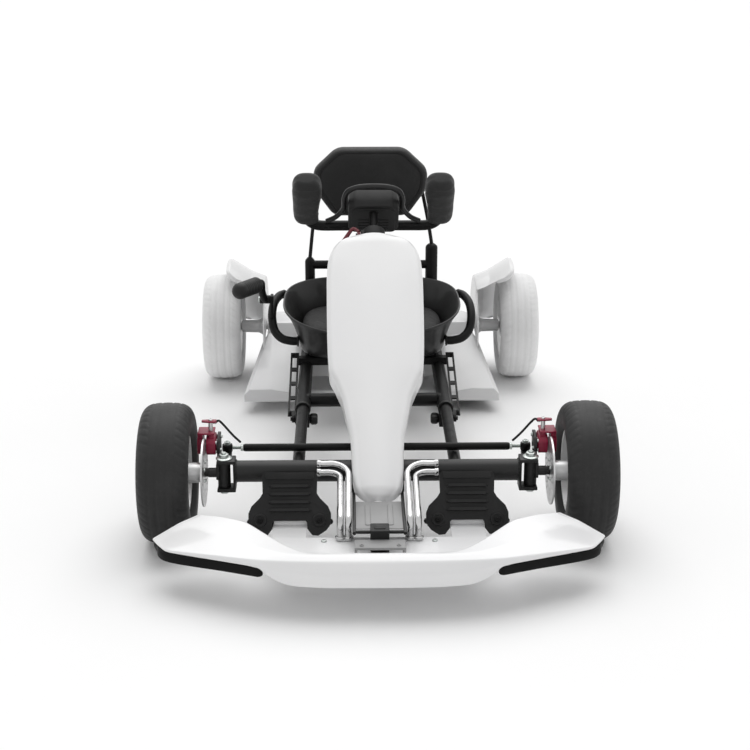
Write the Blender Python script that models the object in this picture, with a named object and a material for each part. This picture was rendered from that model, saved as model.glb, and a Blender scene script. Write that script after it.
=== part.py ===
"""Electric go-kart: a telescoping steel frame on two steered front wheels, with a two-motor drive behind.

Sizes are in metres. X runs to the driver's left, Y from the nose to the back and Z up from the ground.
The pieces are written relative to the front axle line on the ground, and one empty at that place puts the
origin of the whole kart under the middle of its outer box.
"""
import math

import bmesh
import bpy
from mathutils import Matrix, Vector

for leftover in list(bpy.data.objects):
    bpy.data.objects.remove(leftover, do_unlink=True)

# Overall sizes
OVERALL_WIDTH = 0.820
REAR_WIDTH = 0.756
WHEELBASE = 0.900
FRONT_OVERHANG = 0.320
REAR_OVERHANG = 0.1555
FRONT_AXLE_Y = FRONT_OVERHANG - (FRONT_OVERHANG + WHEELBASE + REAR_OVERHANG) / 2

# Fits between pieces
GAP = 0.0003
RUNNING_GAP = 0.0004

# Wheels
FRONT_TYRE_RADIUS = 0.123
FRONT_TYRE_WIDTH = 0.088
FRONT_RIM_RADIUS = 0.0745
REAR_TYRE_RADIUS = 0.119
REAR_TYRE_WIDTH = 0.085
REAR_RIM_RADIUS = 0.0775
RIM_WALL = 0.004
SPOKE_WINDOWS = 5
DISC_RADIUS = 0.060
DISC_THICKNESS = 0.003
WHEEL_FACETS = 24

# Front axle and steering knuckles
BEAM_RADIUS = 0.019
BEAM_WALL = 0.003
BEAM_Z = 0.125
KINGPIN_SPACING = OVERALL_WIDTH - 0.283
KINGPIN_RADIUS = 0.005
YOKE_BOTTOM = 0.091
YOKE_TOP = 0.149
YOKE_PLATE = 0.006
YOKE_WEB_PLATE = 0.004
YOKE_DEPTH = 0.030
BARREL_RADIUS = 0.0112
STUB_RADIUS = 0.0075
STUB_SHOULDER_RADIUS = 0.0085
KNUCKLE_ARM = 0.083
ARM_WIDTH = 0.016
ARM_THICKNESS = 0.008
STUD_RADIUS = 0.004

# Track rod
TIE_Z = 0.137
TIE_RADIUS = 0.007
TIE_SLEEVE_HALF = KINGPIN_SPACING / 2 - 0.0285
ROD_EYE_RADIUS = 0.0095
THREAD_RADIUS = 0.003

# Steering column
COLUMN_ANGLE = math.radians(40.0)
COVER_LENGTH = 0.565
COVER_TIP_BEHIND = 0.1672
COLUMN_LENGTH = COVER_LENGTH - 0.064
COLLAR_FOOT = COVER_LENGTH - COVER_TIP_BEHIND + 0.0002
COLUMN_RADIUS = 0.015
COLUMN_WALL = 0.006
SHAFT_RADIUS = 0.008
PITMAN_REACH = 0.045
DRIVE_STUD_RADIUS = 0.004
DRIVE_STUD_REACH = 0.022
FORK_PLAY = 0.001
CHANNEL_HALF = 0.0213
CHANNEL_PLATE = 0.003
CHANNEL_DEPTH = 0.0245

# Steering cover
COVER_OFFSET = 0.035
COVER_WALL = 0.003
COVER_CROWN = 0.006

# Steering wheel
GRIP_SPREAD = 0.1285
GRIP_WIDTH = 0.057
GRIP_DEPTH = 0.045
GRIP_TOP = 0.070
GRIP_BOTTOM = -0.055
GRIP_END = 0.055
WHEEL_TUBE_RADIUS = 0.0102
WHEEL_BAR_DROP = 0.0745
WHEEL_BAR_BACK = -0.004
ARCH_RADIUS = 0.005
HUB_HALF_WIDTH = 0.0495

# Bumper
BUMPER_WALL = 0.0035
BUMPER_RIM_Z = 0.100
BUMPER_TRAY_Z = 0.070
BUMPER_TRAY_THICKNESS = 0.004
BUMPER_INNER_Y = -0.282
TRAY_BACK = -0.160
STRUT_FOOT_Y = -0.170
STRIP_HEIGHT = 0.019
STRIP_WIDTH = 0.010

# Struts, stays and latch between the axle beam and the bumper
STRUT_OUTER_X = 0.0648
STRUT_INNER_X = 0.0512
STRUT_RADIUS = 0.0058
STRUT_END_X = 0.103
STAY_X = 0.0418
STAY_RADIUS = 0.003
GUSSET_PLATE = 0.005
LATCH_Y = -0.205
LATCH_Z = 0.100
LATCH_PIN_RADIUS = 0.003
LATCH_HALF = 0.0155
BRACKET_HALF = 0.0415
BRACKET_WALL = 0.0045

# Pedals
PEDAL_X = 0.1508
PEDAL_HINGE_Y = -0.095
PEDAL_LEAN = math.radians(25.0)
PEDAL_HEIGHT = 0.084
PEDAL_THICKNESS = 0.008
PEDAL_PIN_RADIUS = 0.003
PEDAL_BARREL_RADIUS = 0.008
TONGUE_Z = 0.0622
TONGUE_THICKNESS = 0.0046
TONGUE_HALF = 0.0290
PEDAL_HALF = 0.070

# Side rails
RAIL_X = 0.140
RAIL_Z = 0.118
FRONT_RAIL_RADIUS = 0.011
FRONT_RAIL_WALL = 0.002
FRONT_RAIL_END = 0.520
REAR_RAIL_RADIUS = 0.014
REAR_RAIL_START = 0.335
REAR_RAIL_END = WHEELBASE - 0.105
CLAMP_Y = 0.352
CLAMP_BOLT_Z = 0.092
CLAMP_BOLT_RADIUS = 0.004
CLAMP_HALF = 0.012
LADDER_PLATE = 0.003
LADDER_WIDTH = 0.017
LADDER_END = WHEELBASE - 0.310
CROSS_TUBE_Y = 0.390
CROSS_TUBE_RADIUS = 0.0135

# Seat
SEAT_Y = WHEELBASE - 0.220
SEAT_BOTTOM = 0.140
SEAT_HALF_WIDTH = 0.190
SEAT_HALF_DEPTH = 0.120
SEAT_RIM_FRONT = 0.196
SEAT_RIM_BACK = 0.262
SEAT_WALL = 0.004
CUSHION_TOP = 0.2150
CROSSBAR_WIDTH = 0.020
SEAT_BAR_Y = (SEAT_Y - 0.078, SEAT_Y + 0.086)
HOOP_RADIUS = 0.009
POST_Y = WHEELBASE - 0.080
POST_BAR_Z = 0.285
POST_X = (-0.135, 0.135)
POST_RADIUS = (0.011, 0.0135)
POST_TOP = (0.298, 0.329)
ROD_RADIUS = 0.004
PAD_TOP = 0.540
PAD_BOTTOM = 0.390
PAD_THICKNESS = 0.045
PAD_Y = POST_Y + 0.036

# Drive unit
DRIVE_BASE_Z = 0.030
DRIVE_TOP_Z = 0.138
DRIVE_SIDE = 0.238
DRIVE_WALL = 0.004
DRIVE_REACH = 0.100
DECK_FRONT = WHEELBASE - 0.255
DECK_INNER = 0.145
DECK_OUTER = 0.277
DECK_CREASE = 0.218
DECK_BOTTOM = 0.024
DECK_LIP = 0.052
DECK_BACK = 0.118
DECK_WALL = 0.0035
DRIVE_TAIL = 0.140
DRIVE_SLOPE = 1.75
FENDER_RADIUS = REAR_OVERHANG
FENDER_WALL = 0.004
MOTOR_AXLE_RADIUS = 0.008

# Hand brake
BRAKE_PIVOT = (-0.2265, SEAT_Y - 0.025, 0.252)
BRAKE_PIN_RADIUS = 0.004
BRAKE_HUB_RADIUS = 0.009
BRAKE_GRIP_RADIUS = 0.017

TAU = 2 * math.pi
SIDES = (("left", 1), ("right", -1))

FINISHES = {
    "black_steel": ((0.022, 0.022, 0.024), 0.42, 0.3),
    "black_plastic": ((0.028, 0.028, 0.030), 0.55, 0.0),
    "grey_plastic": ((0.150, 0.150, 0.155), 0.60, 0.0),
    "white_plastic": ((0.830, 0.830, 0.830), 0.35, 0.0),
    "pale_plastic": ((0.600, 0.600, 0.610), 0.45, 0.0),
    "pale_rubber": ((0.450, 0.450, 0.460), 0.80, 0.0),
    "rubber": ((0.030, 0.030, 0.032), 0.85, 0.0),
    "fabric": ((0.040, 0.040, 0.043), 0.90, 0.0),
    "chrome": ((0.780, 0.780, 0.800), 0.12, 1.0),
    "zinc": ((0.480, 0.520, 0.500), 0.35, 1.0),
    "bare_steel": ((0.560, 0.560, 0.570), 0.30, 1.0),
    "red_paint": ((0.230, 0.010, 0.045), 0.35, 0.2),
}

kart = bpy.data.objects.new("kart_origin", None)
kart.location = (0.0, FRONT_AXLE_Y, 0.0)
bpy.context.collection.objects.link(kart)


# Building blocks
def circle(radius, count, centre=(0.0, 0.0), start=0.0):
    """Points of a circle in a plane."""
    turns = [start + TAU * i / count for i in range(count)]
    return [(centre[0] + radius * math.cos(t), centre[1] + radius * math.sin(t)) for t in turns]


def smooth_route(points, steps):
    """Points of a smooth curve through the given ones."""
    knots = [Vector(p) for p in points]
    before = knots[0] * 2 - knots[1]
    after = knots[-1] * 2 - knots[-2]
    padded = [before, *knots, after]
    route = []
    for a, b, c, d in zip(padded, padded[1:], padded[2:], padded[3:]):
        for i in range(steps):
            t = i / steps
            route.append(0.5 * (2 * b + (c - a) * t + (2 * a - 5 * b + 4 * c - d) * t * t
                                + (3 * b - a - 3 * c + d) * t ** 3))
    route.append(knots[-1])
    return route


def skin(rings, closed=False):
    """One closed surface over rings of equal point counts."""
    bm = bmesh.new()
    rows = [[bm.verts.new(point) for point in ring] for ring in rings]
    count = len(rows[0])
    followers = rows[1:] + rows[:1] if closed else rows[1:]
    for row, following in zip(rows, followers):
        for i in range(count):
            j = (i + 1) % count
            bm.faces.new((row[i], row[j], following[j], following[i]))
    if not closed:
        bm.faces.new(rows[0])
        bm.faces.new(rows[-1])
    bmesh.ops.recalc_face_normals(bm, faces=bm.faces)
    return bm


def rod(points, radius, facets=8):
    """A round bar along a route; radius is one value or one for each point."""
    route = [Vector(p) for p in points]
    radii = radius if isinstance(radius, (list, tuple)) else [radius] * len(route)
    heading = (route[1] - route[0]).normalized()
    across = heading.orthogonal().normalized()
    rings = []
    for i, point in enumerate(route):
        ahead = route[min(i + 1, len(route) - 1)]
        behind = route[max(i - 1, 0)]
        tangent = (ahead - behind).normalized()
        across = heading.rotation_difference(tangent) @ across
        heading = tangent
        other = tangent.cross(across)
        rings.append([point + radii[i] * (x * across + y * other) for x, y in circle(1.0, facets)])
    return skin(rings)


def lathe(profile, origin, axis, facets, start=0.0, sweep=TAU):
    """Turn a closed profile of (along, radius) points about an axis; a part turn has flat ends."""
    along = Vector(axis).normalized()
    side = along.orthogonal().normalized()
    if abs(along.x) > 0.9:
        side = Vector((0.0, 1.0, 0.0))
    up = along.cross(side)
    full = sweep >= TAU - 1e-6
    rings = []
    for i in range(facets if full else facets + 1):
        t = start + sweep * i / facets
        out = side * math.cos(t) + up * math.sin(t)
        rings.append([Vector(origin) + along * a + out * r for a, r in profile])
    return skin(rings, closed=full)


def spindle(profile, origin, axis, facets=16):
    """A solid turned bar through (along, radius) points, with flat ends."""
    along = Vector(axis).normalized()
    side = along.orthogonal().normalized()
    up = along.cross(side)
    centre = Vector(origin)
    return skin([[centre + along * a + r * (x * side + y * up) for x, y in circle(1.0, facets)]
                 for a, r in profile])


def pipe(start, end, outer, inner, facets=16):
    """A straight tube with an open bore."""
    a, b = Vector(start), Vector(end)
    length = (b - a).length
    profile = [(0.0, inner), (length, inner), (length, outer), (0.0, outer)]
    return lathe(profile, a, b - a, facets)


def prism(outline, place, low, high):
    """Extrude an outline; place(u, v, w) gives the point in space."""
    return skin([[place(u, v, w) for u, v in outline] for w in (low, high)])


def along_x(u, v, w):
    return Vector((w, u, v))


def along_y(u, v, w):
    return Vector((u, w, v))


def along_z(u, v, w):
    return Vector((u, v, w))


def box(low, high):
    """A block between two corners."""
    (x0, y0, z0), (x1, y1, z1) = low, high
    return prism([(x0, y0), (x1, y0), (x1, y1), (x0, y1)], along_z, z0, z1)


def piece(name, bm, finish=None, body=None):
    """Turn a bmesh into a named object; without a finish it is a shape to combine with others."""
    mesh = bpy.data.meshes.new(name)
    bm.to_mesh(mesh)
    bm.free()
    thing = bpy.data.objects.new(name, mesh)
    bpy.context.collection.objects.link(thing)
    if finish:
        finish_piece(thing, finish, body)
    return thing


def finish_piece(thing, finish, body=None):
    """Give an object its material, its shading and its place in the kart."""
    colour, roughness, metallic = FINISHES[finish]
    material = bpy.data.materials.new(thing.name + "_" + finish)
    material.use_nodes = True
    shader = material.node_tree.nodes["Principled BSDF"]
    shader.inputs["Base Color"].default_value = (*colour, 1.0)
    shader.inputs["Roughness"].default_value = roughness
    shader.inputs["Metallic"].default_value = metallic
    thing.data.materials.clear()
    thing.data.materials.append(material)
    thing.data.shade_smooth()
    thing.data.set_sharp_from_angle(angle=math.radians(35.0))
    carrier = body or kart
    if body:
        offset = body.location.copy()
        thing.data.transform(Matrix.Translation(-offset))
    thing.parent = carrier
    return thing


def combine(target, tools, operation):
    """Join or cut closed shapes, and keep only the result."""
    for tool in tools:
        modifier = target.modifiers.new(operation, "BOOLEAN")
        modifier.operation = operation
        modifier.object = tool
        modifier.solver = "EXACT"
    depsgraph = bpy.context.evaluated_depsgraph_get()
    mesh = bpy.data.meshes.new_from_object(target.evaluated_get(depsgraph))
    target.modifiers.clear()
    target.data = mesh
    for tool in tools:
        bpy.data.objects.remove(tool, do_unlink=True)
    return target


def join(name, shapes, finish, body=None):
    """One welded solid out of shapes that overlap."""
    things = [piece(f"{name}_{i}", shape) for i, shape in enumerate(shapes)]
    whole = combine(things[0], things[1:], "UNION")
    whole.name = name
    return finish_piece(whole, finish, body) if finish else whole


def cut(thing, shapes):
    """Take shapes out of a finished or unfinished object that stands at the world's origin."""
    tools = [piece(f"{thing.name}_cut_{i}", shape) for i, shape in enumerate(shapes)]
    return combine(thing, tools, "DIFFERENCE")


def mirrored(bm):
    """A copy of a shape on the other side of the kart."""
    twin = bm.copy()
    bmesh.ops.scale(twin, vec=(-1.0, 1.0, 1.0), verts=twin.verts)
    bmesh.ops.reverse_faces(twin, faces=twin.faces)
    return twin


def sided(bm, sign):
    """The shape itself on the left, or its mirror image on the right."""
    if sign > 0:
        return bm
    twin = mirrored(bm)
    bm.free()
    return twin


def both_sides(make):
    """The shapes of the left side and of the right side."""
    return [sided(make(), sign) for _, sign in SIDES]


def body(name, place):
    """An empty on a joint's axis, which carries the pieces that move there."""
    holder = bpy.data.objects.new(name, None)
    holder.location = place
    holder.empty_display_size = 0.03
    bpy.context.collection.objects.link(holder)
    holder.parent = kart
    return holder


def blend(a, b, t):
    return a + (b - a) * t


def table(rows, x):
    """Read a value between the rows of a small (place, value) table."""
    if x <= rows[0][0]:
        return rows[0][1]
    for (x0, y0), (x1, y1) in zip(rows, rows[1:]):
        if x <= x1:
            return blend(y0, y1, (x - x0) / (x1 - x0))
    return rows[-1][1]


# Places worked out from the sizes
FRONT_WHEEL_X = (OVERALL_WIDTH - FRONT_TYRE_WIDTH) / 2
REAR_WHEEL_X = (REAR_WIDTH - REAR_TYRE_WIDTH) / 2
KINGPIN_X = KINGPIN_SPACING / 2
HUB_IN = FRONT_WHEEL_X - 0.0607
HUB_OUT = FRONT_WHEEL_X + 0.030
DISC_X = HUB_IN - GAP - DISC_THICKNESS
ARM_TOP = TIE_Z - TIE_RADIUS - GAP - 0.0002
YOKE_WEB = KINGPIN_X - 0.0205
YOKE_END = KINGPIN_X + 0.012

COLUMN_AXIS = Vector((0.0, math.cos(COLUMN_ANGLE), math.sin(COLUMN_ANGLE)))
COLUMN_DOWN = Vector((0.0, math.sin(COLUMN_ANGLE), -math.cos(COLUMN_ANGLE)))
ACROSS = Vector((1.0, 0.0, 0.0))
TIE_CENTRE = Vector((0.0, KNUCKLE_ARM, TIE_Z))
COLUMN_FOOT = TIE_CENTRE + COLUMN_AXIS * DRIVE_STUD_REACH - COLUMN_DOWN * PITMAN_REACH
WHEEL_CENTRE = COLUMN_FOOT + COLUMN_AXIS * COLUMN_LENGTH


def on_column(x, p, a):
    """A point beside the column: x across, p behind its axis, a up along it."""
    return COLUMN_FOOT + ACROSS * x + COLUMN_DOWN * p + COLUMN_AXIS * a


def on_wheel(x, u, a):
    """A point of the steering wheel: x across, u up in its plane, a towards the driver."""
    return WHEEL_CENTRE + ACROSS * x - COLUMN_DOWN * u + COLUMN_AXIS * a


def on_pedal(sign):
    """The frame of one pedal: u outwards, v up its plate, w to its front."""
    up = Vector((0.0, math.sin(PEDAL_LEAN), math.cos(PEDAL_LEAN)))
    front = Vector((0.0, -math.cos(PEDAL_LEAN), math.sin(PEDAL_LEAN)))
    hinge = Vector((sign * PEDAL_X, PEDAL_HINGE_Y, BUMPER_TRAY_Z))
    return lambda u, v, w: hinge + ACROSS * (sign * u) + up * v + front * w


# The bodies that move, each an empty on its joint
steering = body("steering", COLUMN_FOOT)
column_lock = body("column_lock", on_column(-0.026, -0.006, COLLAR_FOOT + 0.014))
knuckle = {side: body(f"knuckle_{side}_pivot", (sign * KINGPIN_X, 0.0, BEAM_Z)) for side, sign in SIDES}
track_rod = body("track_rod", (KINGPIN_X, KNUCKLE_ARM, TIE_Z))
front_wheel = {side: body(f"front_wheel_{side}", (sign * FRONT_WHEEL_X, 0.0, FRONT_TYRE_RADIUS))
               for side, sign in SIDES}
pedal = {side: body(f"pedal_{side}_pivot", (sign * PEDAL_X, PEDAL_HINGE_Y, BUMPER_TRAY_Z))
         for side, sign in SIDES}
rear_frame = body("rear_frame", (0.0, CLAMP_Y, RAIL_Z))
clamp = {side: body(f"clamp_{side}_pivot", (sign * RAIL_X, CLAMP_Y, CLAMP_BOLT_Z))
         for side, sign in SIDES}
hand_brake = body("hand_brake", BRAKE_PIVOT)
rear_wheel = {side: body(f"rear_wheel_{side}", (sign * REAR_WHEEL_X, WHEELBASE, REAR_TYRE_RADIUS))
              for side, sign in SIDES}


def make_front_frame():
    """The welded front: axle beam with its yokes, the two side rails, and the stays with their latch pin."""
    web_out = YOKE_WEB + YOKE_WEB_PLATE
    outline = [(YOKE_WEB, YOKE_BOTTOM), (YOKE_END, YOKE_BOTTOM), (YOKE_END, YOKE_BOTTOM + YOKE_PLATE),
               (web_out, YOKE_BOTTOM + YOKE_PLATE), (web_out, YOKE_TOP - YOKE_PLATE),
               (YOKE_END, YOKE_TOP - YOKE_PLATE), (YOKE_END, YOKE_TOP), (YOKE_WEB, YOKE_TOP)]
    half = YOKE_DEPTH / 2
    beam_end = YOKE_WEB + 0.003
    beam = spindle([(-beam_end, BEAM_RADIUS), (beam_end, BEAM_RADIUS)], (0.0, 0.0, BEAM_Z), (1, 0, 0), 24)
    yokes = both_sides(lambda: prism(outline, along_y, -half, half))
    rails = both_sides(lambda: spindle([(0.004, FRONT_RAIL_RADIUS), (FRONT_RAIL_END, FRONT_RAIL_RADIUS)],
                                       (RAIL_X, 0.0, RAIL_Z), (0, 1, 0), 16))
    stay = [(STAY_X, -0.030, 0.1030), (STAY_X, LATCH_Y - 0.006, LATCH_Z)]
    stays = both_sides(lambda: rod(stay, STAY_RADIUS))
    gusset = [(-0.008, 0.130), (-0.026, 0.118), (-0.043, 0.109), (-0.044, 0.101), (-0.030, 0.098),
              (-0.008, 0.112)]
    gusset_in = STAY_X - 0.001
    gussets = both_sides(lambda: prism(gusset, along_x, gusset_in, gusset_in + GUSSET_PLATE))
    pin = spindle([(-STAY_X, LATCH_PIN_RADIUS), (STAY_X, LATCH_PIN_RADIUS)], (0.0, LATCH_Y, LATCH_Z),
                  (1, 0, 0), 10)
    frame = join("front_frame", [beam, *yokes, *rails, *gussets, *stays, pin], None)

    inside = BEAM_RADIUS - BEAM_WALL
    hollow = spindle([(-YOKE_WEB, inside), (YOKE_WEB, inside)], (0.0, 0.0, BEAM_Z), (1, 0, 0), 24)
    rail_bore = FRONT_RAIL_RADIUS - FRONT_RAIL_WALL
    bores = both_sides(lambda: spindle([(BEAM_RADIUS + 0.003, rail_bore), (FRONT_RAIL_END + 0.01, rail_bore)],
                                       (RAIL_X, 0.0, RAIL_Z), (0, 1, 0), 16))
    fit = KINGPIN_RADIUS + GAP
    holes = both_sides(lambda: spindle([(YOKE_BOTTOM - 0.01, fit), (YOKE_TOP + 0.01, fit)],
                                       (KINGPIN_X, 0.0, 0.0), (0, 0, 1), 12))
    drain = spindle([(0.0, 0.002), (0.03, 0.002)], (0.0, 0.0, BEAM_Z), (0, 0, -1), 8)
    finish_piece(cut(frame, [hollow, *bores, *holes, drain]), "black_steel")


def make_kingpin(side, sign):
    """The bolt through a yoke, with a wide flange nut on top."""
    top = YOKE_TOP + GAP
    bottom = YOKE_BOTTOM - GAP
    profile = [(bottom - 0.0055, 0.008), (bottom, 0.009), (bottom, KINGPIN_RADIUS), (top, KINGPIN_RADIUS),
               (top, 0.014), (top + 0.0028, 0.0135), (top + 0.0028, 0.0085), (top + 0.011, 0.0080)]
    piece(f"kingpin_{side}", sided(spindle(profile, (KINGPIN_X, 0.0, 0.0), (0, 0, 1), 12), sign), "zinc")


def make_knuckle(side, sign):
    """Barrel on the kingpin, stub axle, steering arm with its stud, and the brake's mounting plate."""
    centre = Vector((KINGPIN_X, 0.0, 0.0))
    low = YOKE_BOTTOM + YOKE_PLATE + GAP
    high = YOKE_TOP - YOKE_PLATE - GAP
    barrel = spindle([(low, BARREL_RADIUS), (high, BARREL_RADIUS)], centre, (0, 0, 1), 14)
    axle_height = Vector((0.0, 0.0, FRONT_TYRE_RADIUS))
    nut = HUB_OUT + GAP
    stub = spindle([(KINGPIN_X + 0.008, STUB_SHOULDER_RADIUS), (DISC_X - 0.006, STUB_SHOULDER_RADIUS),
                    (DISC_X - 0.005, STUB_RADIUS), (nut, STUB_RADIUS), (nut, 0.011), (nut + 0.0075, 0.010)],
                   axle_height, (1, 0, 0), 12)
    arm_low = ARM_TOP - ARM_THICKNESS
    half = ARM_WIDTH / 2
    end = [(KINGPIN_X + half * math.cos(t), KNUCKLE_ARM + half * math.sin(t))
           for t in [math.pi * i / 4 for i in range(5)]]
    arm = prism([(KINGPIN_X - half, 0.008), (KINGPIN_X + half, 0.008), *end], along_z, arm_low, ARM_TOP)
    head = TIE_Z + TIE_RADIUS + GAP
    stud = spindle([(arm_low - 0.004, 0.0065), (arm_low + 0.001, 0.0065), (ARM_TOP - 0.001, STUD_RADIUS),
                    (head, STUD_RADIUS), (head, 0.0065), (head + 0.005, 0.0055)],
                   (KINGPIN_X, KNUCKLE_ARM, 0.0), (0, 0, 1), 8)
    plate_x = KINGPIN_X + 0.0085
    outline = [(-0.010, 0.112), (0.012, 0.108), (0.046, 0.130), (0.064, 0.148), (0.064, 0.176), (0.050, 0.180),
               (0.028, 0.172), (0.020, 0.162), (0.020, 0.140), (-0.008, 0.140)]
    plate = prism(outline, along_x, plate_x, plate_x + 0.005)
    shapes = [sided(shape, sign) for shape in (barrel, stub, arm, stud, plate)]
    name = f"knuckle_{side}"
    solid = join(name, shapes, None)
    bore = sided(spindle([(low - 0.01, KINGPIN_RADIUS + GAP), (high + 0.01, KINGPIN_RADIUS + GAP)],
                         centre, (0, 0, 1), 12), sign)
    finish_piece(cut(solid, [bore]), "black_steel", knuckle[side])


def make_caliper(side, sign):
    """The red brake caliper over the disc, with its cable arm on top."""
    inner = KINGPIN_X + 0.0085 + 0.005 + GAP
    outer = DISC_X + DISC_THICKNESS + 0.0115
    housing = prism([(0.020, 0.150), (0.026, 0.145), (0.058, 0.145), (0.062, 0.150), (0.062, 0.172),
                     (0.055, 0.180), (0.028, 0.180), (0.020, 0.172)], along_x, inner, outer)
    post = box((inner + 0.008, 0.036, 0.178), (inner + 0.014, 0.044, 0.2035))
    arm = box((inner, 0.034, 0.202), (inner + 0.027, 0.046, 0.2075))
    shapes = [sided(shape, sign) for shape in (housing, post, arm)]
    solid = join(f"brake_caliper_{side}", shapes, None)
    clear = 0.001
    swing = DISC_RADIUS + 0.002
    slot = sided(spindle([(DISC_X - clear, swing), (DISC_X + DISC_THICKNESS + clear, swing)],
                         (0.0, 0.0, FRONT_TYRE_RADIUS), (1, 0, 0), WHEEL_FACETS), sign)
    finish_piece(cut(solid, [slot]), "red_paint", knuckle[side])


def make_brake_cable(side, sign):
    """The short cable housing from the caliper's arm down to the end of the track rod."""
    anchor = KINGPIN_X + 0.0085 + 0.005
    bend = smooth_route([(anchor - 0.003, 0.040, 0.2048), (anchor - 0.010, 0.046, 0.196),
                         (anchor - 0.024, 0.066, 0.1690), (anchor - 0.037, 0.080, 0.1490)], 2)
    shape = rod([(anchor, 0.040, 0.2048), *bend], 0.002, 6)
    piece(f"brake_cable_{side}", sided(shape, sign), "black_plastic", knuckle[side])


def make_front_wheel(side, sign):
    """Tyre, five-window rim with its hub, and the brake disc on the hub's inner end."""
    centre = Vector((FRONT_WHEEL_X, 0.0, FRONT_TYRE_RADIUS))
    half = FRONT_TYRE_WIDTH / 2
    bead = FRONT_RIM_RADIUS + GAP
    r = FRONT_TYRE_RADIUS
    quarter = [(0.032, bead), (half - 0.002, bead + 0.008), (half, r - 0.022), (half - 0.009, r - 0.006),
               (half - 0.024, r)]
    tyre = quarter + [(-a, rad) for a, rad in reversed(quarter)]
    turned = lathe(tyre, centre, (1, 0, 0), WHEEL_FACETS)
    piece(f"front_tyre_{side}", sided(turned, sign), "rubber", front_wheel[side])

    bore = STUB_RADIUS + GAP
    hub_in = HUB_IN - FRONT_WHEEL_X
    hub_out = HUB_OUT - FRONT_WHEEL_X
    shell = FRONT_RIM_RADIUS - RIM_WALL
    rim = [(hub_in, bore), (hub_out, bore), (hub_out, 0.019), (0.020, 0.021), (0.020, shell - 0.003),
           (0.034, shell), (0.034, FRONT_RIM_RADIUS), (-0.034, FRONT_RIM_RADIUS), (-0.034, shell),
           (0.012, shell - 0.002), (0.012, 0.020), (hub_in, 0.018)]
    solid = piece(f"front_rim_{side}", sided(lathe(rim, centre, (1, 0, 0), WHEEL_FACETS), sign))
    windows = []
    for i in range(SPOKE_WINDOWS):
        turn = TAU * (i + 0.5) / SPOKE_WINDOWS
        spread = TAU / SPOKE_WINDOWS * 0.30
        corners = [(0.029, -spread * 0.75), (0.062, -spread), (0.0635, 0.0), (0.062, spread),
                   (0.029, spread * 0.75)]
        outline = [(centre.y + rad * math.cos(turn + off), centre.z + rad * math.sin(turn + off))
                   for rad, off in corners]
        windows.append(sided(prism(outline, along_x, centre.x + 0.005, centre.x + 0.028), sign))
    finish_piece(cut(solid, windows), "bare_steel", front_wheel[side])

    face = DISC_X + DISC_THICKNESS
    disc = [(DISC_X, bore + 0.0015), (face, bore + 0.0015), (face, DISC_RADIUS), (DISC_X, DISC_RADIUS)]
    plate = lathe(disc, (0.0, 0.0, FRONT_TYRE_RADIUS), (1, 0, 0), WHEEL_FACETS)
    piece(f"brake_disc_{side}", sided(plate, sign), "bare_steel", front_wheel[side])


def make_track_rod():
    """The sleeve that ties both knuckles together, its drive stud, and the rod ends on their threads."""
    sleeve = spindle([(-TIE_SLEEVE_HALF, TIE_RADIUS), (TIE_SLEEVE_HALF, TIE_RADIUS)], TIE_CENTRE, (1, 0, 0), 12)
    stud = spindle([(0.0, DRIVE_STUD_RADIUS), (DRIVE_STUD_REACH + 0.009, DRIVE_STUD_RADIUS)],
                   TIE_CENTRE, COLUMN_AXIS, 8)
    boss = spindle([(-0.004, 0.0085), (0.0105, 0.0075)], TIE_CENTRE, COLUMN_AXIS, 10)
    thread = [(TIE_SLEEVE_HALF - 0.002, THREAD_RADIUS), (KINGPIN_X - 0.007, THREAD_RADIUS)]
    threads = both_sides(lambda: spindle(thread, TIE_CENTRE, (1, 0, 0), 8))
    eyes = both_sides(lambda: spindle([(ARM_TOP + GAP, ROD_EYE_RADIUS), (TIE_Z + TIE_RADIUS, ROD_EYE_RADIUS)],
                                      (KINGPIN_X, KNUCKLE_ARM, 0.0), (0, 0, 1), 12))
    rod_shape = join("tie_bar", [sleeve, boss, stud, *threads, *eyes], None)
    hole = STUD_RADIUS + GAP
    holes = both_sides(lambda: spindle([(ARM_TOP - 0.01, hole), (TIE_Z + 0.02, hole)],
                                       (KINGPIN_X, KNUCKLE_ARM, 0.0), (0, 0, 1), 12))
    finish_piece(cut(rod_shape, holes), "black_steel", track_rod)


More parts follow.
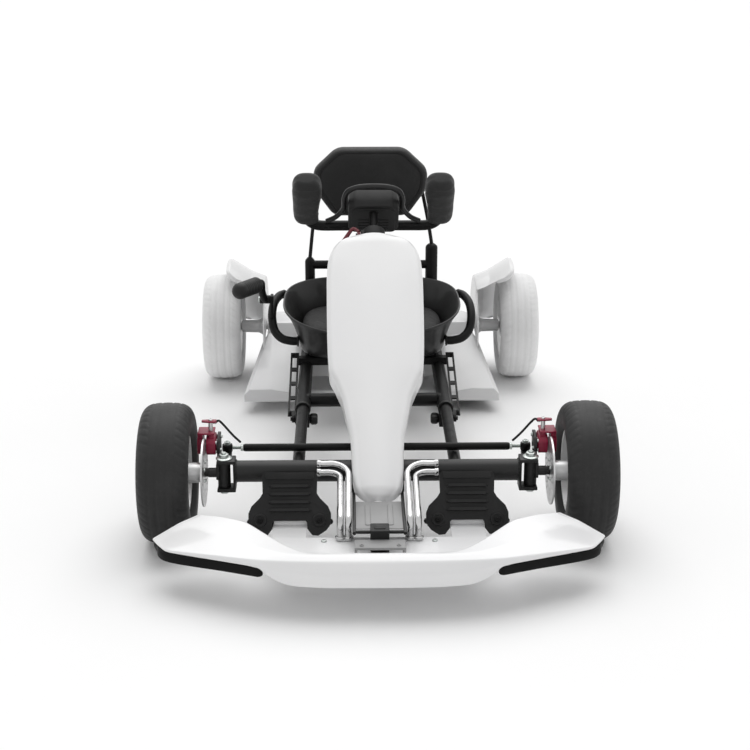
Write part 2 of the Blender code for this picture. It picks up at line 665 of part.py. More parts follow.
def make_column():
    """The channel on the axle beam, the column tube with its bearing block, and the clamp collar."""
    deep = CHANNEL_DEPTH
    plate = CHANNEL_PLATE
    half = CHANNEL_HALF
    inside, floor, mouth = half - plate, plate - deep, -0.006
    outline = [(-half, -deep), (half, -deep), (half, mouth), (inside, mouth), (inside, floor),
               (-inside, floor), (-inside, mouth), (-half, mouth)]
    channel = piece("column_channel", prism(outline, on_column, -0.094, 0.082))
    around_beam = spindle([(-0.05, BEAM_RADIUS + GAP), (0.05, BEAM_RADIUS + GAP)], (0.0, 0.0, BEAM_Z),
                          (1, 0, 0), 24)
    finish_piece(cut(channel, [around_beam]), "black_steel")

    bore = COLUMN_RADIUS - COLUMN_WALL
    tube = pipe(on_column(0, 0, 0.030), on_column(0, 0, COLLAR_FOOT + 0.002), COLUMN_RADIUS, bore)
    wide = half - plate - GAP
    block = prism([(-wide, -deep + plate + GAP), (wide, -deep + plate + GAP), (wide, 0.017), (-wide, 0.017)],
                  on_column, 0.020, 0.080)
    solid = join("column_tube", [block, tube], None)
    drill = spindle([(0.0, bore), (COLUMN_LENGTH, bore)], COLUMN_FOOT, COLUMN_AXIS, 16)
    finish_piece(cut(solid, [drill]), "black_steel")

    low, middle = COLLAR_FOOT, COLLAR_FOOT + 0.014
    ring = pipe(on_column(0, 0, low), on_column(0, 0, low + 0.028), 0.022, COLUMN_RADIUS + GAP)
    lug = prism([(-0.0252, -0.012), (-0.017, -0.012), (-0.017, 0.012), (-0.0252, 0.012)], on_column,
                low + 0.004, low + 0.024)
    pin = spindle([(-0.003, 0.003), (0.0085, 0.003), (0.0085, 0.005), (0.0105, 0.0045)],
                  on_column(-0.024, -0.006, middle), (-1, 0, 0), 10)
    collar = join("column_collar", [ring, lug, pin], None)
    fit = COLUMN_RADIUS + GAP
    clear = spindle([(low - 0.018, fit), (low + 0.042, fit)], COLUMN_FOOT, COLUMN_AXIS, 16)
    finish_piece(cut(collar, [clear]), "black_plastic")

    hub = lathe([(0.0, 0.003 + GAP), (0.0065, 0.003 + GAP), (0.0065, 0.008), (0.0, 0.008)],
                on_column(-0.0256, -0.006, middle), (-1, 0, 0), 12)
    bend = [(-0.0288, -0.0125, 0.0045), (-0.040, -0.011, 0.0125), (-0.053, -0.004, -0.002), (-0.0665, 0.0, -0.025)]
    handle = rod(smooth_route([on_column(x, p, middle + a) for x, p, a in bend], 2),
                 [0.0030, 0.0033, 0.0036, 0.0039, 0.0041, 0.0042, 0.0035])
    join("column_lever", [hub, handle], "red_paint", column_lock)


def make_steering():
    """The shaft with its fork, and the wheel: frame tube, arch, hub and two padded grips."""
    slot = DRIVE_STUD_RADIUS + FORK_PLAY
    shaft = spindle([(-0.012, SHAFT_RADIUS), (COLUMN_LENGTH - 0.010 - GAP, SHAFT_RADIUS)],
                    COLUMN_FOOT, COLUMN_AXIS, 16)
    boss = spindle([(-0.009, 0.013), (0.009, 0.013)], COLUMN_FOOT, COLUMN_AXIS, 16)
    reach = PITMAN_REACH
    fork = prism([(-0.010, 0.0), (0.010, 0.0), (0.0115, reach - 0.010), (0.0115, reach + 0.012),
                  (slot, reach + 0.012), (slot, reach - 0.0085), (-slot, reach - 0.0085), (-slot, reach + 0.012),
                  (-0.0115, reach + 0.012), (-0.0115, reach - 0.010)], on_column, -0.005, 0.005)
    join("steering_shaft", [shaft, boss, fork], "bare_steel", steering)

    drop, back = WHEEL_BAR_DROP, WHEEL_BAR_BACK
    half = [(GRIP_SPREAD, GRIP_END, 0.0), (GRIP_SPREAD, -0.057, 0.0), (0.1245, -drop + 0.009, back * 0.4),
            (0.1130, -drop + 0.002, back * 0.8), (0.0900, -drop, back), (0.0400, -drop, back)]
    route = [on_wheel(*p) for p in half] + [on_wheel(-x, u, a) for x, u, a in reversed(half)]
    piece("wheel_frame", rod(route, WHEEL_TUBE_RADIUS, 12), "black_plastic", steering)

    bar_top = -drop + WHEEL_TUBE_RADIUS + GAP
    foot = bar_top + ARCH_RADIUS - 0.0008
    arch = [(0.092, foot, back), (0.073, foot + 0.012, back / 2), (0.0585, foot + 0.036, 0.0),
            (0.0570, 0.006, 0.0), (0.0500, 0.030, 0.0), (0.0320, 0.042, 0.0), (0.0120, 0.0455, 0.0)]
    points = [on_wheel(*p) for p in arch] + [on_wheel(-x, u, a) for x, u, a in reversed(arch)]
    piece("wheel_arch", rod(smooth_route(points, 1), ARCH_RADIUS), "grey_plastic", steering)

    low = bar_top
    w = HUB_HALF_WIDTH
    outline = [(-w, low + 0.012), (-w + 0.010, low), (w - 0.010, low), (w, low + 0.012), (w, 0.006),
               (w - 0.014, 0.020), (-w + 0.014, 0.020), (-w, 0.006)]
    hub = piece("wheel_hub", prism(outline, on_wheel, -0.030, 0.012))
    socket = spindle([(COLUMN_LENGTH - 0.05, SHAFT_RADIUS + GAP), (COLUMN_LENGTH - 0.010, SHAFT_RADIUS + GAP)],
                     COLUMN_FOOT, COLUMN_AXIS, 16)
    finish_piece(cut(hub, [socket]), "black_plastic", steering)

    levels = [(GRIP_BOTTOM, 0.62), (GRIP_BOTTOM + 0.006, 0.84), (GRIP_BOTTOM + 0.020, 0.97), (0.0, 1.0),
              (GRIP_TOP - 0.024, 1.0), (GRIP_TOP - 0.009, 0.86), (GRIP_TOP, 0.62)]
    fit = WHEEL_TUBE_RADIUS + GAP
    for side, sign in SIDES:
        rings = []
        for u, size in levels:
            ring = []
            for x, y in circle(1.0, 14):
                across = math.copysign(abs(x) ** 0.7, x) * GRIP_WIDTH / 2 * size
                deep = math.copysign(abs(y) ** 0.7, y) * GRIP_DEPTH / 2 * size
                ring.append(on_wheel(GRIP_SPREAD + across, u, deep))
            rings.append(ring)
        grip = piece(f"wheel_grip_{side}", sided(skin(rings), sign))
        hole = spindle([(GRIP_BOTTOM - 0.01, fit), (GRIP_END + GAP, fit)],
                       on_wheel(sign * GRIP_SPREAD, 0.0, 0.0), -COLUMN_DOWN, 16)
        finish_piece(cut(grip, [hole]), "black_plastic", steering)


COVER_HALF_WIDTH = [(0.0, 0.020), (0.007, 0.031), (0.021, 0.041), (0.040, 0.044), (0.114, 0.047),
                    (0.181, 0.0576), (0.205, 0.0623), (0.237, 0.0735), (0.266, 0.0852), (0.349, 0.0890),
                    (COVER_LENGTH - 0.106, 0.0900), (COVER_LENGTH - 0.065, 0.0880),
                    (COVER_LENGTH - 0.040, 0.0820), (COVER_LENGTH - 0.022, 0.0720),
                    (COVER_LENGTH - 0.009, 0.0590), (COVER_LENGTH, 0.0380)]
COVER_DEPTH = [(0.0, 0.014), (0.104, 0.012), (0.229, 0.050), (COVER_LENGTH, 0.050)]
COVER_CURL = [(0.0, 0.010), (0.010, 0.003), (0.024, 0.0), (COVER_LENGTH - 0.025, 0.0), (COVER_LENGTH, 0.006)]


def on_cover(s):
    """The frame of the cover's section a distance s up from its tip: x across, q back from its face."""
    return lambda x, q: on_column(x, q - COVER_OFFSET, s - COVER_TIP_BEHIND)


def cover_half(s, inset):
    """Half of the cover's section from its rear edge to the middle of its face, drawn in by inset."""
    w = table(COVER_HALF_WIDTH, s) - inset
    face = table(COVER_CURL, s) + inset
    deep = table(COVER_DEPTH, s)
    return [(w, deep), (w, face + 0.009), (w - 0.003, face + 0.0035), (w - 0.009, face),
            (w * 0.5, face - COVER_CROWN * 0.75), (0.0, face - COVER_CROWN)]


def cover_section(s, inset):
    half = cover_half(s, inset)
    return half + [(-x, q) for x, q in reversed(half[:-1])]


def make_steering_cover():
    """The long white nose cover over the column, open behind, with two ribs that seat on the column."""
    rings = []
    for s, _ in COVER_HALF_WIDTH:
        place = on_cover(s)
        loop = cover_section(s, 0.0) + list(reversed(cover_section(s, COVER_WALL)))
        rings.append([place(x, q) for x, q in loop])
    shell = skin(rings)

    def rib(s, thickness):
        faces = []
        edge = table(COVER_DEPTH, s) - 0.003
        for station in (s, s + thickness):
            place = on_cover(station)
            faces.append([place(x, min(q, edge)) for x, q in cover_section(station, COVER_WALL / 2)])
        return skin(faces)

    low_rib, high_rib = 0.221, COVER_LENGTH - 0.085
    solid = join("steering_cover", [shell, rib(low_rib, 0.004), rib(high_rib, 0.004)], None)
    wide = CHANNEL_HALF + GAP
    notch = prism([(-wide, -CHANNEL_DEPTH - GAP), (wide, -CHANNEL_DEPTH - GAP), (wide, 0.030), (-wide, 0.030)],
                  on_column, low_rib - COVER_TIP_BEHIND - 0.01, low_rib - COVER_TIP_BEHIND + 0.02)
    r = COLUMN_RADIUS + GAP
    arc = [(r * math.cos(t), r * math.sin(t)) for t in [math.pi + math.pi * i / 10 for i in range(11)]]
    saddle = prism([*arc, (r, 0.030), (-r, 0.030)], on_column, high_rib - COVER_TIP_BEHIND - 0.01,
                   high_rib - COVER_TIP_BEHIND + 0.02)
    finish_piece(cut(solid, [notch, saddle]), "white_plastic")


BUMPER_STATIONS = [
    # inner top, outer top, lower break, outer bottom, height of the inner wall's foot
    ((0.000, BUMPER_INNER_Y, BUMPER_RIM_Z), (0.000, -0.3105, 0.0965),
     (0.000, -FRONT_OVERHANG, 0.0775), (0.000, -0.3175, 0.0545), 0.0705),
    ((0.060, BUMPER_INNER_Y, BUMPER_RIM_Z), (0.085, -0.3100, 0.0965),
     (0.087, -0.3185, 0.0775), (0.087, -0.3160, 0.0545), 0.0705),
    ((0.092, -0.2815, 0.1000), (0.130, -0.3070, 0.0957),
     (0.132, -0.3130, 0.0785), (0.131, -0.3105, 0.0545), 0.0705),
    ((0.114, -0.2800, 0.1002), (0.156, -0.3035, 0.0950),
     (0.158, -0.3070, 0.0808), (0.155, -0.3040, 0.0555), 0.0705),
    ((0.126, -0.2765, 0.1004), (0.185, -0.2975, 0.0935),
     (0.187, -0.3005, 0.0830), (0.184, -0.2975, 0.0655), 0.0705),
    ((0.129, -0.2745, 0.1004), (0.191, -0.2955, 0.0932),
     (0.193, -0.2985, 0.0828), (0.190, -0.2960, 0.0812), 0.0705),
    ((0.160, -0.2440, 0.1015), (0.252, -0.2680, 0.0880),
     (0.2535, -0.2705, 0.0805), (0.2505, -0.2680, 0.0790), 0.0705),
    ((0.218, -0.1700, 0.1050), (0.3475, -0.2240, 0.0795),
     (0.3490, -0.2255, 0.0765), (0.3460, -0.2235, 0.0750), 0.0800),
    ((0.258, -0.1560, 0.1085), (0.3665, -0.1900, 0.0775),
     (0.3675, -0.1910, 0.0745), (0.3645, -0.1895, 0.0730), 0.0840),
    ((0.298, -0.1500, 0.1100), (0.3745, -0.1720, 0.0765),
     (0.3755, -0.1725, 0.0735), (0.3725, -0.1715, 0.0720), 0.0860),
]
WING_STATION = 5
STRIP_HEIGHTS = [STRIP_HEIGHT, STRIP_HEIGHT, STRIP_HEIGHT, STRIP_HEIGHT * 0.7, STRIP_HEIGHT * 0.35]


def bumper_section(station, inset, sign):
    """Foot, inner top, crown, outer top, break, bottom and heel of the bumper's section at one station."""
    it, ot, brk, ob = (Vector(point) for point in station[:4])
    outwards = Vector((ot.x - it.x, ot.y - it.y, 0.0)).normalized()
    out = outwards * inset
    drop = Vector((0.0, 0.0, inset))
    deeper = Vector((0.0, 0.0, 0.02)) if inset else Vector()
    ib = Vector((it.x, it.y, station[4]))
    crown = blend(it, ot, 0.45) + Vector((0.0, 0.0, 0.003))
    heel = ib + outwards * BUMPER_WALL * 1.6
    points = [ib + out - deeper, it + out - drop, crown - drop, ot - out - drop, brk - out, ob - out - deeper,
              heel + out - deeper]
    return [Vector((sign * p.x, p.y, p.z)) for p in points]


def between(first, second, share):
    """A station part of the way from one to the next."""
    points = [tuple(blend(a, b, share) for a, b in zip(p, q)) for p, q in zip(first[:4], second[:4])]
    return (*points, blend(first[4], second[4], share))


def bumper_rings(inset):
    """Sections from the tip of one wing, round the front, to the tip of the other."""
    stations = list(BUMPER_STATIONS)
    if inset:
        stations[-1] = between(stations[-2], stations[-1], 0.90)
    left = [bumper_section(station, inset, 1) for station in reversed(stations)]
    right = [bumper_section(station, inset, -1) for station in stations[1:]]
    return left + right


def make_bumper():
    """The white shell, the tray inside it that carries the pedals, and the black strips under its wings."""
    shell = piece("bumper_shell", skin(bumper_rings(0.0)))
    finish_piece(cut(shell, [skin(bumper_rings(BUMPER_WALL))]), "white_plastic")

    top = BUMPER_TRAY_Z + 0.0002
    under = top - BUMPER_TRAY_THICKNESS
    inner = PEDAL_X - TONGUE_HALF
    outer = PEDAL_X + TONGUE_HALF
    half = [(0.0, -0.3140), (0.087, -0.3125), (0.130, -0.3065), (0.155, -0.2990), (0.179, -0.2930),
            (outer, -0.2480), (outer, TRAY_BACK), (0.0, TRAY_BACK)]
    outline = half[:-1] + [(-x, y) for x, y in reversed(half[1:-1])]
    plate = prism(outline, along_z, under, top)
    tongue_top = TONGUE_Z + TONGUE_THICKNESS
    tongues = both_sides(lambda: box((inner, TRAY_BACK - 0.03, TONGUE_Z), (outer, PEDAL_HINGE_Y, tongue_top)))
    barrels = both_sides(lambda: spindle([(inner, PEDAL_BARREL_RADIUS), (outer, PEDAL_BARREL_RADIUS)],
                                         (0.0, PEDAL_HINGE_Y, BUMPER_TRAY_Z), (1, 0, 0), 14))
    tray = join("bumper_tray", [plate, *tongues, *barrels], None)
    bore = PEDAL_PIN_RADIUS + GAP
    holes = both_sides(lambda: spindle([(inner - 0.01, bore), (outer + 0.01, bore)],
                                       (0.0, PEDAL_HINGE_Y, BUMPER_TRAY_Z), (1, 0, 0), 12))
    finish_piece(cut(tray, holes), "white_plastic")

    for side, sign in SIDES:
        rings = []
        for station, height in zip(BUMPER_STATIONS[WING_STATION:], STRIP_HEIGHTS):
            it, ot, brk, ob = (Vector(point) for point in station[:4])
            out = Vector((ot.x - it.x, ot.y - it.y, 0.0)).normalized()
            top_z, low_z = ob.z - GAP, ob.z - GAP - height
            inside = brk - out * STRIP_WIDTH
            low_out = brk - out * 0.003
            rings.append([Vector((brk.x, brk.y, top_z)), Vector((inside.x, inside.y, top_z)),
                          Vector((inside.x, inside.y, low_z)), Vector((low_out.x, low_out.y, low_z)),
                          Vector((brk.x, brk.y, low_z + 0.003))])
        piece(f"bumper_strip_{side}", sided(skin(rings), sign), "black_plastic")


def make_front_struts():
    """Twin chromed rods from the axle beam to the tray, and the latch whose block hooks on the stays' pin."""
    radius = STRUT_RADIUS
    away = BEAM_RADIUS + radius + GAP
    tray = BUMPER_TRAY_Z + 0.0002 + GAP
    high, low = math.radians(50.0), math.radians(16.0)
    high_y, high_z = -away * math.cos(high), BEAM_Z + away * math.sin(high)
    low_y, low_z = -away * math.cos(low), BEAM_Z + away * math.sin(low)
    foot = [(STRUT_FOOT_Y + 0.0165, 0.1075), (STRUT_FOOT_Y + 0.004, 0.0985), (STRUT_FOOT_Y, 0.0880),
            (STRUT_FOOT_Y, tray)]
    upper = [(STRUT_END_X, high_y, high_z), (0.076, high_y, high_z), (0.061, -0.021, 0.1405),
             (STRUT_INNER_X, -0.033, 0.1350), (STRUT_INNER_X, -0.055, 0.1285)]
    lower = [(STRUT_END_X, low_y, low_z), (0.084, low_y, low_z), (0.072, -0.0270, 0.1305),
             (STRUT_OUTER_X, -0.0370, 0.1290), (STRUT_OUTER_X, -0.055, 0.1260)]
    for side, sign in SIDES:
        rods = [rod([*upper, *((STRUT_INNER_X, y, z) for y, z in foot)], radius),
                rod([*lower, *((STRUT_OUTER_X, y, z) for y, z in foot)], radius)]
        lug = skin([[(x, high_y, high_z + 0.0030), (x, high_y - 0.0036, high_z + 0.0010),
                     (x, low_y - 0.0036, low_z - 0.0010), (x, low_y, low_z - 0.0030)] for x in (0.099, 0.1045)])
        plate = box((STRUT_INNER_X - 0.003, STRUT_FOOT_Y - 0.0035, tray),
                    (STRUT_OUTER_X + 0.003, STRUT_FOOT_Y + 0.0035, tray + 0.004))
        join(f"front_strut_{side}", [sided(shape, sign) for shape in (*rods, lug, plate)], "chrome")

    half = BRACKET_HALF
    inner = half - BRACKET_WALL
    front = LATCH_Y - 0.048
    outline = [(-half, tray), (-inner, tray), (-inner, 0.0895), (inner, 0.0895), (inner, tray), (half, tray),
               (half, 0.0940), (-half, 0.0940)]
    bracket = prism(outline, along_y, front, LATCH_Y - 0.012)
    block = box((-LATCH_HALF, LATCH_Y - 0.016, tray), (LATCH_HALF, LATCH_Y + 0.016, LATCH_Z + 0.009))
    latch = join("bumper_latch", [bracket, block], None)
    fit = LATCH_PIN_RADIUS + GAP
    hole = spindle([(-0.03, fit), (0.03, fit)], (0.0, LATCH_Y, LATCH_Z), (1, 0, 0), 10)
    finish_piece(cut(latch, [hole]), "black_steel")


def make_pedals():
    """Wide ribbed pedals in front of the tray's tongues, with lobes that hold the hinge pin on both sides."""
    notch = TONGUE_HALF + 0.0006
    back = PEDAL_BARREL_RADIUS + 0.0008
    front = back + PEDAL_THICKNESS
    for side, sign in SIDES:
        place = on_pedal(sign)
        half = [(0.0, PEDAL_HEIGHT), (0.042, PEDAL_HEIGHT), (0.047, PEDAL_HEIGHT - 0.006), (0.046, 0.048),
                (0.051, 0.040), (0.065, 0.026), (PEDAL_HALF, 0.014), (PEDAL_HALF, -0.004), (0.062, -0.015),
                (0.048, -0.024), (0.038, -0.023), (notch, -0.012), (notch, -0.002), (notch - 0.003, 0.0015),
                (0.0, 0.0015)]
        outline = half + [(-u, v) for u, v in reversed(half[1:-1])]
        plate = prism(outline, place, back, front)
        ribs = [prism([(-0.036, v), (0.036, v), (0.036, v + 0.004), (-0.036, v + 0.004)], place,
                      front - 0.001, front + 0.0022) for v in (0.018, 0.032, 0.046, 0.060)]
        lip = prism([(-0.041, PEDAL_HEIGHT - 0.012), (0.041, PEDAL_HEIGHT - 0.012), (0.041, PEDAL_HEIGHT - 0.001),
                     (-0.041, PEDAL_HEIGHT - 0.001)], place, front - 0.003, front + 0.005)
        bosses = [spindle([(front - 0.001, 0.0085), (front + 0.0015, 0.0080)], place(u, 0.002, 0.0),
                          place(0.0, 0.0, 1.0) - place(0.0, 0.0, 0.0), 8) for u in (-0.050, 0.050)]
        hinge = (sign * PEDAL_X, PEDAL_HINGE_Y, BUMPER_TRAY_Z)
        ends = (notch + 0.001, PEDAL_HALF - 0.003)
        barrels = [spindle([(ends[0] * turn, back + 0.0007), (ends[1] * turn, back + 0.0007)],
                           hinge, (1, 0, 0), 12) for turn in (1, -1)]
        pin = spindle([(-PEDAL_HALF, PEDAL_PIN_RADIUS), (PEDAL_HALF, PEDAL_PIN_RADIUS)], hinge, (1, 0, 0), 8)
        join(f"pedal_{side}", [plate, lip, *ribs, *bosses, *barrels, pin], "black_plastic", pedal[side])


def make_rear_rails():
    """The welded rear frame: rails that slide over the front ones, crossbars, clamp lugs and hitch straps."""
    bore = FRONT_RAIL_RADIUS + RUNNING_GAP
    strap_low = RAIL_Z + REAR_RAIL_RADIUS - 0.0015
    strap = [(-0.128, strap_low), (-0.057, strap_low), (-0.043, DRIVE_TOP_Z + GAP), (0.048, DRIVE_TOP_Z + GAP),
             (0.048, DRIVE_TOP_Z + 0.0043), (-0.045, DRIVE_TOP_Z + 0.0043), (-0.059, strap_low + 0.004),
             (-0.128, strap_low + 0.004)]
    strap = [(WHEELBASE + y, z) for y, z in strap]
    tubes = both_sides(lambda: spindle([(REAR_RAIL_START, REAR_RAIL_RADIUS), (REAR_RAIL_END, REAR_RAIL_RADIUS)],
                                       (RAIL_X, 0.0, RAIL_Z), (0, 1, 0), 16))
    lugs = both_sides(lambda: box((RAIL_X - CLAMP_HALF, REAR_RAIL_START, CLAMP_BOLT_Z - 0.012),
                                  (RAIL_X + CLAMP_HALF, REAR_RAIL_START + 0.034, RAIL_Z - 0.006)))
    hitches = both_sides(lambda: prism(strap, along_x, RAIL_X - 0.035, RAIL_X + 0.023))
    wide, half = RAIL_X + 0.018, CROSSBAR_WIDTH / 2
    seat_bars = [box((-wide, y - half, low), (wide, y + half, SEAT_BOTTOM - GAP))
                 for y, low in zip(SEAT_BAR_Y, (strap_low - 0.006, strap_low))]
    cross = spindle([(-RAIL_X, CROSS_TUBE_RADIUS), (RAIL_X, CROSS_TUBE_RADIUS)], (0.0, CROSS_TUBE_Y, RAIL_Z),
                    (1, 0, 0), 14)
    frame = join("rear_rails", [*tubes, *lugs, *hitches, *seat_bars, cross], None)
    drills = both_sides(lambda: spindle([(REAR_RAIL_START - 0.01, bore), (REAR_RAIL_END + 0.01, bore)],
                                        (RAIL_X, 0.0, RAIL_Z), (0, 1, 0), 16))
    fit = CLAMP_BOLT_RADIUS + GAP
    bolt_holes = both_sides(lambda: spindle([(RAIL_X - 0.04, fit), (RAIL_X + 0.06, fit)],
                                            (0.0, CLAMP_Y, CLAMP_BOLT_Z), (1, 0, 0), 12))
    finish_piece(cut(frame, [*drills, *bolt_holes]), "black_steel", rear_frame)


def make_clamp(side, sign):
    """The clamp's knob and bolt, and the ladder plate that it holds against the lug."""
    inside = RAIL_X - CLAMP_HALF - GAP
    plate_in = RAIL_X + CLAMP_HALF + GAP
    plate_out = plate_in + LADDER_PLATE + GAP
    knob = spindle([(inside - 0.016, 0.0085), (inside - 0.004, 0.0105), (inside, 0.009),
                    (inside, CLAMP_BOLT_RADIUS), (plate_out, CLAMP_BOLT_RADIUS), (plate_out, 0.010),
                    (plate_out + 0.010, 0.0085)], (0.0, CLAMP_Y, CLAMP_BOLT_Z), (1, 0, 0), 12)
    piece(f"clamp_knob_{side}", sided(knob, sign), "black_plastic", clamp[side])

    tab = [(-0.010, -0.008), (0.0, -0.011), (0.026, -0.005), (0.034, 0.006), (0.0, 0.011), (-0.010, 0.006)]
    tab = [(CLAMP_Y + y, CLAMP_BOLT_Z + z) for y, z in tab]
    low, rise = CLAMP_BOLT_Z - 0.001, 0.059
    start, end = CLAMP_Y + 0.016, LADDER_END
    strip = [(start, low), (end, low + rise), (end, low + rise + LADDER_PLATE), (start, low + LADDER_PLATE)]
    strip_in = plate_in + 0.0022
    strip_out = strip_in + LADDER_WIDTH
    shapes = [prism(tab, along_x, plate_in, plate_in + LADDER_PLATE), prism(strip, along_x, strip_in, strip_out)]
    ladder = join(f"adjuster_plate_{side}", [sided(shape, sign) for shape in shapes], None)
    span = (end - start - 0.020) / 4
    tools = [sided(box((strip_in + 0.004, start + 0.016 + span * i, 0.080),
                       (strip_out - 0.004, start + 0.016 + span * (i + 0.78), 0.160)), sign) for i in range(4)]
    fit = CLAMP_BOLT_RADIUS + GAP
    tools.append(sided(spindle([(RAIL_X + 0.01, fit), (RAIL_X + 0.04, fit)], (0.0, CLAMP_Y, CLAMP_BOLT_Z),
                               (1, 0, 0), 12), sign))
    finish_piece(cut(ladder, tools), "black_steel", rear_frame)


def seat_outline(half_x, half_y, heights, count=24):
    """A rounded rectangle round the seat; heights gives z for a direction's share towards the back."""
    ring = []
    for x, y in circle(1.0, count):
        power = 0.62
        px = math.copysign(abs(x) ** power, x) * half_x
        py = SEAT_Y + math.copysign(abs(y) ** power, y) * half_y
        ring.append(Vector((px, py, heights(y))))
    return ring


def seat_rim(y):
    """Height of the seat's rim: low in front, higher at the sides, highest at the back."""
    share = (y + 1) / 2
    return SEAT_RIM_FRONT + (SEAT_RIM_BACK - SEAT_RIM_FRONT) * share ** 0.55


def make_seat():
    """The bucket shell, its crowned cushion, and the side hoops."""
    w, d, t = SEAT_HALF_WIDTH, SEAT_HALF_DEPTH, SEAT_WALL
    waist = SEAT_BOTTOM + 0.035

    def middle(y):
        return blend(waist, seat_rim(y), 0.55)

    outside = [seat_outline(w - 0.046, d - 0.020, lambda y: SEAT_BOTTOM),
               seat_outline(w - 0.036, d - 0.010, lambda y: SEAT_BOTTOM + 0.008),
               seat_outline(w - 0.030, d - 0.006, lambda y: waist),
               seat_outline(w - 0.018, d - 0.003, middle),
               seat_outline(w, d, seat_rim)]
    inside = [seat_outline(w - 0.003, d - 0.003, lambda y: seat_rim(y) + 0.003),
              seat_outline(w - 0.018 - t, d - 0.003 - t, middle),
              seat_outline(w - 0.030 - t, d - 0.006 - t, lambda y: waist + 0.002),
              seat_outline(w - 0.036 - t, d - 0.010 - t, lambda y: SEAT_BOTTOM + 0.012),
              seat_outline(w - 0.050, d - 0.024, lambda y: SEAT_BOTTOM + t)]
    piece("seat_shell", skin(outside + inside), "black_plastic", rear_frame)

    floor = SEAT_BOTTOM + t + GAP
    cw, cd = w - 0.030 - t - 0.002, d - 0.006 - t - 0.002
    rows = [(0.70, floor), (0.84, floor + 0.006), (0.93, floor + 0.017), (0.985, waist + 0.010), (0.985, 0.196),
            (0.955, 0.2025), (0.90, 0.2065), (0.78, 0.2095), (0.74, 0.2085), (0.70, 0.2097), (0.52, 0.2125),
            (0.26, CUSHION_TOP)]
    rings = [seat_outline(cw * k, cd * k, lambda y, z=z: z) for k, z in rows]
    piece("seat_cushion", skin(rings), "fabric", rear_frame)

    r = HOOP_RADIUS
    path = [(0.1890, 0.062, 0.2400), (0.1995, 0.048, 0.2395), (0.2080, 0.024, 0.2350), (0.2125, 0.000, 0.226),
            (0.2130, -0.025, 0.2090), (0.2070, -0.044, 0.188), (0.1920, -0.057, 0.175), (0.1720, -0.0615, 0.1705),
            (0.1552, -0.0615, 0.1700)]
    path = [(px, SEAT_Y + py, pz) for px, py, pz in path]
    piece("side_hoop_left", rod(smooth_route(path, 2), r), "black_steel", rear_frame)
    right = sided(rod(smooth_route(path, 2), r), -1)
    x, y, z = BRAKE_PIVOT
    lug = box((x + 0.0110, y - 0.013, 0.212), (x + 0.0170, y + 0.013, z + 0.010))
    pin = spindle([(-0.0140, BRAKE_PIN_RADIUS), (0.0120, BRAKE_PIN_RADIUS), (0.0120, 0.007), (0.0150, 0.006)],
                  (x, y, z), (-1, 0, 0), 12)
    join("side_hoop_right", [right, lug, pin], "black_steel", rear_frame)


def pad_outline(count_per_side=3):
    """The six-sided outline of the back pad, with its corners rounded."""
    half = [(0.075, PAD_TOP), (0.1265, 0.492), (0.124, 0.448), (0.082, PAD_BOTTOM)]
    corners = [(-x, z) for x, z in half[:1]] + half + [(-x, z) for x, z in reversed(half[1:])]
    points = []
    count = len(corners)
    for i, corner in enumerate(corners):
        before, here, after = Vector(corners[i - 1]), Vector(corner), Vector(corners[(i + 1) % count])
        start = here + (before - here).normalized() * 0.014
        end = here + (after - here).normalized() * 0.014
        for k in range(count_per_side):
            t = k / (count_per_side - 1)
            point = blend(blend(start, here, t), blend(here, end, t), t)
            points.append((point.x, point.y))
    return points


def make_back():
    """The posts with their thin rods and crossbar behind the seat, and the padded back rest."""
    foot = RAIL_Z + REAR_RAIL_RADIUS + 0.0025 + GAP
    plate_y = PAD_Y + PAD_THICKNESS / 2 + GAP
    knee, plate_back = POST_Y + 0.030, plate_y + 0.005
    routes = ([(-0.1270, knee, 0.372), (-0.1180, plate_back, 0.418), (-0.1120, plate_back, 0.455)],
              [(0.1275, knee, 0.380), (0.1200, plate_back, 0.418), (0.1120, plate_back, 0.455)])
    posts = []
    for x, radius, top, bend in zip(POST_X, POST_RADIUS, POST_TOP, routes):
        lean = math.copysign(0.001, -x)
        route = [(x, POST_Y, foot), (x, POST_Y, foot + 0.004), (x, POST_Y, foot + 0.0045),
                 (x, POST_Y, top - 0.006), (x, POST_Y, top), (x + lean, POST_Y + 0.001, top + 0.006), *bend]
        radii = [radius + 0.0015, radius + 0.0015, radius, radius, radius * 0.7] + [ROD_RADIUS] * 4
        posts.append(rod(route, radii))
    bar = rod([(POST_X[0], POST_Y, POST_BAR_Z), (POST_X[1], POST_Y, POST_BAR_Z)], 0.0095)
    plate = box((-0.118, plate_y, 0.425), (0.118, plate_y + 0.004, 0.462))
    join("back_frame", [posts[0], posts[1], bar, plate], "black_steel", rear_frame)

    outline = pad_outline()
    centre = (0.0, (PAD_TOP + PAD_BOTTOM) / 2)
    rows = [(0.92, 0.5), (0.985, 0.42), (1.0, 0.18), (1.0, -0.12), (0.985, -0.32), (0.955, -0.425), (0.90, -0.48),
            (0.885, -0.455), (0.87, -0.485), (0.62, -0.57), (0.30, -0.61)]
    rings = []
    for size, depth in rows:
        y = PAD_Y + depth * PAD_THICKNESS
        rings.append([Vector((x * size, y, centre[1] + (z - centre[1]) * size)) for x, z in outline])
    piece("back_pad", skin(rings), "fabric", rear_frame)


def drive_front(z):
    """Where the sloping front of the drive unit stands at a height."""
    return WHEELBASE - DRIVE_REACH + (z - DRIVE_BASE_Z) / DRIVE_SLOPE


